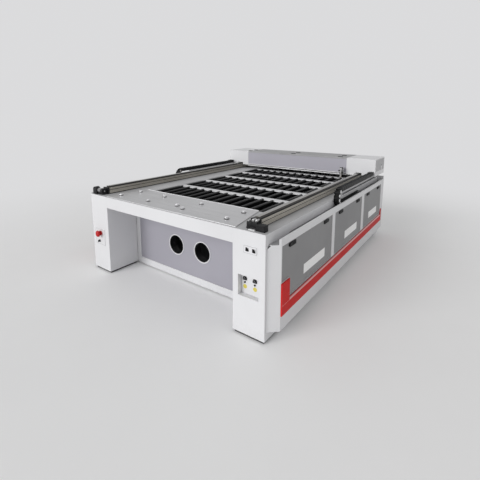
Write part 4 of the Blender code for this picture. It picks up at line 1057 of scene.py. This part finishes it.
class CUTTER_OT_chains(CutterOperator, bpy.types.Operator):
    """Cable chains of plates and crossbars, and the shelves under them"""

    bl_idname = "cutter.chains"
    bl_label = "Chains"

    def build(self, sizes, scene):
        # painted shade: the right shelf's level faces take a near-black coat for the shade inside
        # its channel; the left shelf stays white
        for word, top in (("left", "white"), ("right", "dim")):
            dressed(
                f"{word}_chain_shelf", f"white {top}", "white_paint", 0.0008, 1, longer(0.02),
                lambda at, normal: abs(normal.z) > 0.97,
            )
            self.upper_run(word, sizes.chain_link)
            self.lower_run(word, sizes.chain_link)
            self.bend(word)

    def link(self, x, y, z):
        """One link between two ends: side plates, a waist and a crossbar above and below."""
        wall, gap, bar, waist = 0.0060, 0.0012, 0.0045, 0.0085
        reach = (y[1] - y[0]) * 0.30
        plates = [
            box((inner, y[0] + gap, z[0]), (outer, y[1] - gap, z[1]), 0.0040, 2)
            for inner, outer in ((x[0], x[0] + wall), (x[1] - wall, x[1]))
        ]
        bars = [
            box((x[0] + 0.003, y[0] + reach, base), (x[1] - 0.003, y[1] - reach, top), 0.0012, 1)
            for base, top in ((z[0] + gap, z[0] + bar), (z[1] - bar, z[1] - gap))
        ]
        low, high, start, end = z[0] + bar, z[1] - bar, y[0] - 0.010, y[0] + 0.012
        waists = [
            box((inner, start, low), (outer, end, high), 0.0015, 1)
            for inner, outer in ((x[0] + 0.0015, x[0] + waist), (x[1] - waist, x[1] - 0.0015))
        ]
        return plates + bars + waists

    def cables(self, low, high):
        """Places across a chain and radii of the three cables in it."""
        for share, radius in ((0.27, 0.0062), (0.50, 0.0075), (0.73, 0.0062)):
            yield low.x + (high.x - low.x) * share, radius

    def run(self, node, body, pitch):
        """A straight run of links with the cables that lie in it."""
        low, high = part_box(node)
        long, sections = high.y - low.y, 24
        count = round(long / pitch)
        ends = [low.y + step * (long / count) for step in range(count + 1)]
        links = []
        for span in zip(ends, ends[1:]):
            links += self.link((low.x, high.x), span, (low.z, high.z))
        for shape in links:
            for vert in shape.verts:
                vert.co.y = min(max(vert.co.y, low.y), high.y)
        cables = []
        for x, radius in self.cables(low, high):
            sides = [(radius, long * i / sections) for i in range(sections + 1)]
            place = (x, low.y, (low.z + high.z) / 2 - 0.004)
            cables.append(turned([(0, 0), *sides, (0, long)], place, backward, 10))
        shape = joined(links, cables)
        return piece(f"{node}_links", shape, "black rubber", body, [node])

    def upper_run(self, word, pitch):
        """A run that rides on the gantry, with a mesh of its own."""
        node, travel = f"{word}_upper_chain", 1.86
        obj = self.run(node, "gantry", pitch)
        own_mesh(obj)

    def lower_run(self, word, pitch):
        """A run on no body, with its place baked into its mesh."""
        node = f"{word}_lower_chain"
        obj = self.run(node, None, pitch)
        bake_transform(obj)

    def bend(self, word):
        """The half-turn of links, with a bright pin at each joint."""
        node, links, half_high, clearance = f"{word}_chain_loop", 5, 0.019, 0.0008
        low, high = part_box(node)
        middle = Vector((0, high.y - clearance, (low.z + high.z) / 2))
        reach = (high.z - low.z) / 2 - half_high
        step = math.pi / links
        half = reach * math.tan(step / 2)

        def outward(number):
            angle = -math.pi / 2 - number * step
            return middle + Vector((0, math.cos(angle), math.sin(angle))) * reach

        shapes, pins = [], []
        for number in range(links):
            turn = Matrix.Rotation(-(number + 0.5) * step, 4, "X")
            place = Matrix.Translation(outward(number + 0.5)) @ turn
            for shape in self.link((low.x, high.x), (-half, half), (-half_high, half_high)):
                bmesh.ops.transform(shape, matrix=place, verts=shape.verts)
                for vert in shape.verts:
                    vert.co.y = min(vert.co.y, middle.y)
                shapes.append(shape)
        for number in range(1, links):
            at = outward(number)
            for end, way in ((low.x, -1), (high.x, 1)):
                start = Vector((end - way * 0.0015, at.y, at.z))
                stop = start + Vector((way * 0.0028, 0, 0))
                pins.append(rod(0.0155, start, stop, 24, 0.0009, 2))
        cables = [self.elbow(x, middle, reach, radius) for x, radius in self.cables(low, high)]
        shape = joined(shapes, pins, cables)
        names, body = "black bolt rubber", f"{word}_loop"
        piece(f"{node}_links", shape, names, body, [node])

    def elbow(self, x, middle, reach, radius):
        """A cable's half-turn."""
        shape = bmesh.new()
        bmesh.ops.create_circle(shape, cap_ends=True, radius=radius, segments=10)
        upright = Matrix.Rotation(math.pi / 2, 3, "X")
        bmesh.ops.rotate(shape, cent=(0, 0, 0), matrix=upright, verts=shape.verts)
        bmesh.ops.translate(shape, vec=(x, middle.y, middle.z - reach), verts=shape.verts)
        parts = shape.verts[:] + shape.edges[:] + shape.faces[:]
        bmesh.ops.spin(
            shape, geom=parts, cent=middle, axis=across, angle=-math.pi, steps=12, use_merge=False
        )
        bmesh.ops.recalc_face_normals(shape, faces=shape.faces)
        return softened(shape, 0)


class CUTTER_OT_cabinets(CutterOperator, bpy.types.Operator):
    """Side shells, doors, latches, plain plates and the red strips"""

    bl_idname = "cutter.cabinets"
    bl_label = "Cabinets"

    def build(self, sizes, scene):
        for word in both_sides:
            # painted shade: the level floor of the tray takes the tray grey
            dressed(
                f"{word}_side_shell", "white tray", "white_paint", 0.0015, 2, longer(0.03),
                lambda at, normal: normal.z > 0.9 and at.z > 0.6 and abs(at.x) < side_face - 0.013,
            )
            # the trim's sloped top takes the ledge finish, with its painted highlight and painted
            # shadow
            dressed(
                f"{word}_trim", "red ledge", "red_paint", 0.0016, 2, longer(0.02),
                lambda at, normal: normal.z > 0.2 and 0.26 < at.z < 0.29,
            )
            for number in (1, 2, 3):
                dressed(
                    f"{word}_door_{number}", "door black", "door_gray_paint", 0.0012, 2,
                    longer(0.03), lambda at, normal: abs(at.x) > side_face - 0.0039,
                )
                if word == "right":
                    self.latch(f"right_door_{number}_front_latch", False)
                    self.latch(f"right_door_{number}_rear_latch", True)
        for number, span in enumerate(((0.434, 0.835), (1.335, 1.710), (2.155, 2.500)), 1):
            self.plate(number, *span)

    def latch(self, node, rooted_behind):
        """A turning lever with a slotted boss at its root and a grip plate near its tip."""
        low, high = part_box(node)
        x, z, root_inset, tip_inset = high.x, (low.z + high.z) / 2, 0.014, 0.030
        root, tip = low.y + root_inset, high.y - tip_inset
        if rooted_behind:
            root, tip = high.y - root_inset, low.y + tip_inset
        boss = rod(0.0098, (x - sunk, root, z), (x + 0.0016, root, z), 28, 0.0007, 2)
        start, stop = (x + 0.0010, root - 0.006, z - 0.001), (x + 0.0020, root + 0.006, z + 0.001)
        key = box(start, stop, 0.0003, 1)
        start, stop = (x - sunk, tip - 0.020, z - 0.0085), (x + 0.0012, tip + 0.020, z + 0.0085)
        grip = box(start, stop, 0.0008, 1)
        fittings = [joined([boss, key], [grip])]
        dressed(node, "black hopper", "black_plastic", 0.0016, 3, extra=fittings, smooth=True)

    def plate(self, number, start, end):
        """A bare plate with four rivets on a right door."""
        x, low, high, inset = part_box("right_door_2")[1].x, 0.350, 0.425, 0.010
        plate = box((x - 0.0002, front + start, low), (x + 0.0010, front + end, high), 0.0005, 1)
        rivets = [
            rod(0.0024, (x + 0.0008, y, z), (x + 0.0016, y, z), 12, 0.0004)
            for y in (front + start + inset, front + end - inset)
            for z in (low + inset, high - inset)
        ]
        shape, body = joined([plate], rivets), f"right_door_{number}_body"
        piece(f"door_plate_{number}", shape, "door_plate bolt", body)


class CUTTER_OT_gantry(CutterOperator, bpy.types.Operator):
    """Gantry beam, cover, lid with its clips, and the end caps"""

    bl_idname = "cutter.gantry"
    bl_label = "Gantry"

    def build(self, sizes, scene):
        dressed(
            "gantry_beam", "white guide black", "white_paint", 0.0012, 1, longer(0.03),
            self.beam_finish,
        )
        dressed("gantry_cover", "panel", "light_gray_paint", 0.0008, 1)
        self.slot_edges()
        self.lid()
        for word in both_sides:
            dressed(
                f"{word}_end_cap", "white black", "white_paint", sizes.cap_edge, 3, longer(0.04),
                self.cap_finish,
            )
        self.end_plate()

    def beam_finish(self, at, normal):
        """White sheet and tube, a ground X rail and black saddles."""
        low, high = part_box("gantry_cover")
        if abs(at.x) < high.x and 0.83 < at.z < 0.90 and at.y < low.y + 0.228:
            return 1
        return 2 if abs(at.x) > 0.8 and at.z < 0.882 else 0

    def cap_finish(self, at, normal):
        """Black inside the opening of the cap's front foot."""
        inside = at.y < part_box("gantry_cover")[0].y - 0.0055
        return inside and at.z < 0.87 and 1.0 < abs(at.x) < 1.056

    def slot_edges(self):
        """White lips above and below the slot that the head's arm passes through."""
        low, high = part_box("gantry_cover")
        arm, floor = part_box("head_carriage")[0].z, low.z - 0.020
        upper = (low.x, low.y, low.z - 0.0075), (high.x, low.y + 0.003, low.z + sunk)
        lower = (low.x, low.y - 0.009, floor - sunk), (high.x, low.y - 0.006, arm - 0.0008)
        lips = [box(*corners, 0.0005, 1) for corners in (upper, lower)]
        piece("slot_edges", joined(lips), "plate", "gantry")

    def lid(self):
        low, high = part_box("gantry_lid")
        # painted light: the lid's front faces take the mid grey, apart from the lid's own grey on
        # top
        dressed(
            "gantry_lid", "lid shadow", "light_gray_paint", 0.0012, 2,
            pick=lambda at, normal: normal.y < -0.9,
        )
        rows = (low.y + 0.060, min(low.y + 0.210, high.y - 0.060))
        base, top = high.z - sunk, high.z + 0.0055
        clips = [
            box((x - 0.030, y, base), (x + 0.030, y + 0.020, top), 0.0012, 2)
            for x in (-0.735, -0.027, 0.627) for y in rows
        ]
        piece("lid_clips", joined(clips), "black", "lid")

    def end_plate(self):
        """A darker plate, a white plug and a small socket on the right cap's outer face."""
        x, y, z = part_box("right_end_cap")[1].x, front + 2.600, 0.887
        low, high = (x - 0.0005, front + 2.345, 0.862), (x + 0.0010, front + 2.742, 1.000)
        plate = box(low, high, 0.0008, 1)
        piece("right_cap_plate", plate, "deck", "gantry")
        seat = x + 0.0008
        plug = rod(0.0210, (seat, y, z), (x + 0.0060, y, z), 32, 0.001, 2)
        socket = box((seat, y - 0.006, z + 0.034), (x + 0.0030, y + 0.006, z + 0.042), 0.0006, 1)
        shape = joined([plug], [socket])
        piece("right_cap_plug", shape, "plate black", "gantry", smooth=True)


class CUTTER_OT_head(CutterOperator, bpy.types.Operator):
    """Carriage and cutting head"""

    bl_idname = "cutter.head"
    bl_label = "Cutting head"

    def build(self, sizes, scene):
        dressed("head_carriage", "steel black", "bright_steel", 0.0012, 2, longer(0.008))
        low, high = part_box("laser_head")
        x, y, tip, top = 0.69, front + 2.2497, low.z, high.z
        thin, groove, wide = 0.0132, 0.0165, 0.0180
        barrel = [(radius, tip + up) for radius, up in (
            (0, 0.018), (0.0108, 0.0181), (0.0112, 0.024), (thin, 0.026), (thin, 0.034),
            (wide, 0.037), (wide, 0.048), (groove, 0.049), (groove, 0.051), (wide, 0.052),
            (wide, 0.078), (groove, 0.079), (groove, 0.081), (wide, 0.082),
        )]
        barrel += [(radius, top - down) for radius, down in (
            (wide, 0.022), (0.0146, 0.018), (0.0146, 0.006), (0.0120, 0.004), (0, 0.004),
        )]
        nozzle = [(radius, tip + up) for radius, up in (
            (0, 0), (0.0022, 0), (0.0038, 0.001), (0.0072, 0.010), (0.0072, 0.0135), (0, 0.0135),
        )]
        ceramic = [(radius, tip + up) for radius, up in (
            (0, 0.013), (0.0098, 0.0131), (0.0100, 0.0178), (0, 0.0182),
        )]
        slide, clamp, screw = high.y - 0.006, tip + 0.054, top - 0.040
        fittings = self.knobs(x, y, (tip + 0.018 + top) / 2) + [
            box((x - 0.020, slide, tip + 0.040), (x + 0.020, high.y, top), 0.0015, 2),
            box((x - 0.0195, y - 0.012, clamp), (x + 0.0195, slide + sunk, clamp + 0.020), 0.002),
            rod(0.0090, (x, y, top - 0.005), (x, y, top), 20, 0.001),
            box((x - 0.004, y - 0.0205, screw), (x + 0.004, y - 0.017, screw + 0.012), 0.0008, 1),
        ]
        tube, cone, ring_part = (
            turned(profile, (x, y, 0), upward, sides)
            for profile, sides in ((barrel, 40), (nozzle, 24), (ceramic, 28))
        )
        shape = joined([tube], fittings, [cone], [ring_part])
        names, nodes = "bolt black brass plate", ["laser_head"]
        piece("cutting_head", shape, names, "head", nodes, True)

    def knobs(self, x, y, z):
        """A stepped knob on each side of the barrel."""
        knobs = []
        for way, up, reach in ((-1, 0.012, 0.028), (1, -0.008, 0.026)):
            for step in range(2):
                near = x + way * (reach - 0.011 + step * 0.006)
                start, end = (near, y, z + up), (near + way * 0.0055, y, z + up)
                knobs.append(rod(0.0085 - step * 0.002, start, end, 18, 0.0008))
        return knobs


class CUTTER_OT_units(CutterOperator, bpy.types.Operator):
    """Laser source and drives behind the right doors"""

    bl_idname = "cutter.units"
    bl_label = "Inner units"

    def build(self, sizes, scene):
        self.source()
        self.drives()

    def source(self):
        """A cased laser source with a front plate, a grille and three knobs."""
        low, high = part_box("laser_source")
        dressed(
            "laser_source", "panel black", "light_gray_paint", 0.0015, 2, longer(0.01),
            lambda at, normal: at.x > high.x - 0.0255,
        )
        face = high.x - 0.026
        back, y, z = face - sunk, low.y, low.z
        plate = (back, y + 0.10, z + 0.150), (face + 0.0015, y + 0.20, z + 0.200)
        details = [box(*plate, 0.0006, 1)]
        for step in range(10):
            up = z + 0.040 + step * 0.016
            bar = (back, y + 0.250, up), (face + sunk, high.y - 0.090, up + 0.006)
            details.append(box(*bar, 0.0004, 1))
        for step in range(3):
            at = (y + 0.112 + step * 0.034, z + 0.060)
            details.append(rod(0.010, (back, *at), (face + 0.008, *at), 24, 0.0015))
        piece("source_face", joined(details), "black")

    def drives(self):
        """Finned drive modules with a bright terminal strip each."""
        low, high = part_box("drive_modules")
        dressed(
            "drive_modules", "steel black", "bright_steel", 0.0012, 1, longer(0.01),
            lambda at, normal: at.x > low.x + 0.0045,
        )
        inset, wide, heights = 0.040, 0.095, (0.230, 0.230, 0.200, 0.160)
        pitch = (high.y - low.y - 2 * inset - wide) / (len(heights) - 1)
        back, top = high.x - sunk, high.z - 0.060
        fins, strips = [], []
        for number, height in enumerate(heights):
            start, foot = low.y + inset + number * pitch, top - height
            for y in (start + 0.010 + step * 0.017 for step in range(5)):
                fin = (back, y, top - 0.070), (high.x + 0.0015, y + 0.007, top - 0.014)
                fins.append(box(*fin, 0.0004, 1))
            y, z, proud = start + 0.008, foot + 0.012, high.x + 0.009
            strip = (back, y, z), (proud, start + 0.087, foot + 0.030)
            strips.append(box(*strip, 0.001, 1))
        piece("drive_faces", joined(fins, strips), "shadow bolt")


operators = (
    CUTTER_OT_stage,
    CUTTER_OT_base,
    CUTTER_OT_duct_wall,
    CUTTER_OT_controls,
    CUTTER_OT_deck_plate,
    CUTTER_OT_slat_bed,
    CUTTER_OT_rails,
    CUTTER_OT_chains,
    CUTTER_OT_cabinets,
    CUTTER_OT_gantry,
    CUTTER_OT_head,
    CUTTER_OT_units,
)
groups = {"cutter_colors": CutterColors, "cutter_sizes": CutterSizes, "cutter_stage": CutterStage}


class CUTTER_PT_panel(bpy.types.Panel):
    """Lists the machine's parts, colours and sizes."""

    bl_label = "Laser cutting machine"
    bl_idname = "CUTTER_PT_panel"
    bl_space_type = "VIEW_3D"
    bl_region_type = "UI"
    bl_category = "Laser Cutter"

    def draw(self, context):
        for operator in operators:
            self.layout.operator(operator.bl_idname)
        for name in groups:
            group = getattr(context.scene, name)
            for key in group.__annotations__:
                self.layout.prop(group, key)


def register():
    for name, group in groups.items():
        bpy.utils.register_class(group)
        setattr(bpy.types.Scene, name, PointerProperty(type=group))
    for operator in operators:
        bpy.utils.register_class(operator)
    bpy.utils.register_class(CUTTER_PT_panel)


def unregister():
    bpy.utils.unregister_class(CUTTER_PT_panel)
    for operator in reversed(operators):
        bpy.utils.unregister_class(operator)
    for name, group in groups.items():
        delattr(bpy.types.Scene, name)
        bpy.utils.unregister_class(group)


def main():
    register()
    make_looks(bpy.context.scene.cutter_colors)
    for operator in operators:
        getattr(bpy.ops.cutter, operator.bl_idname.split(".")[1])()


if __name__ == "__main__":
    main()
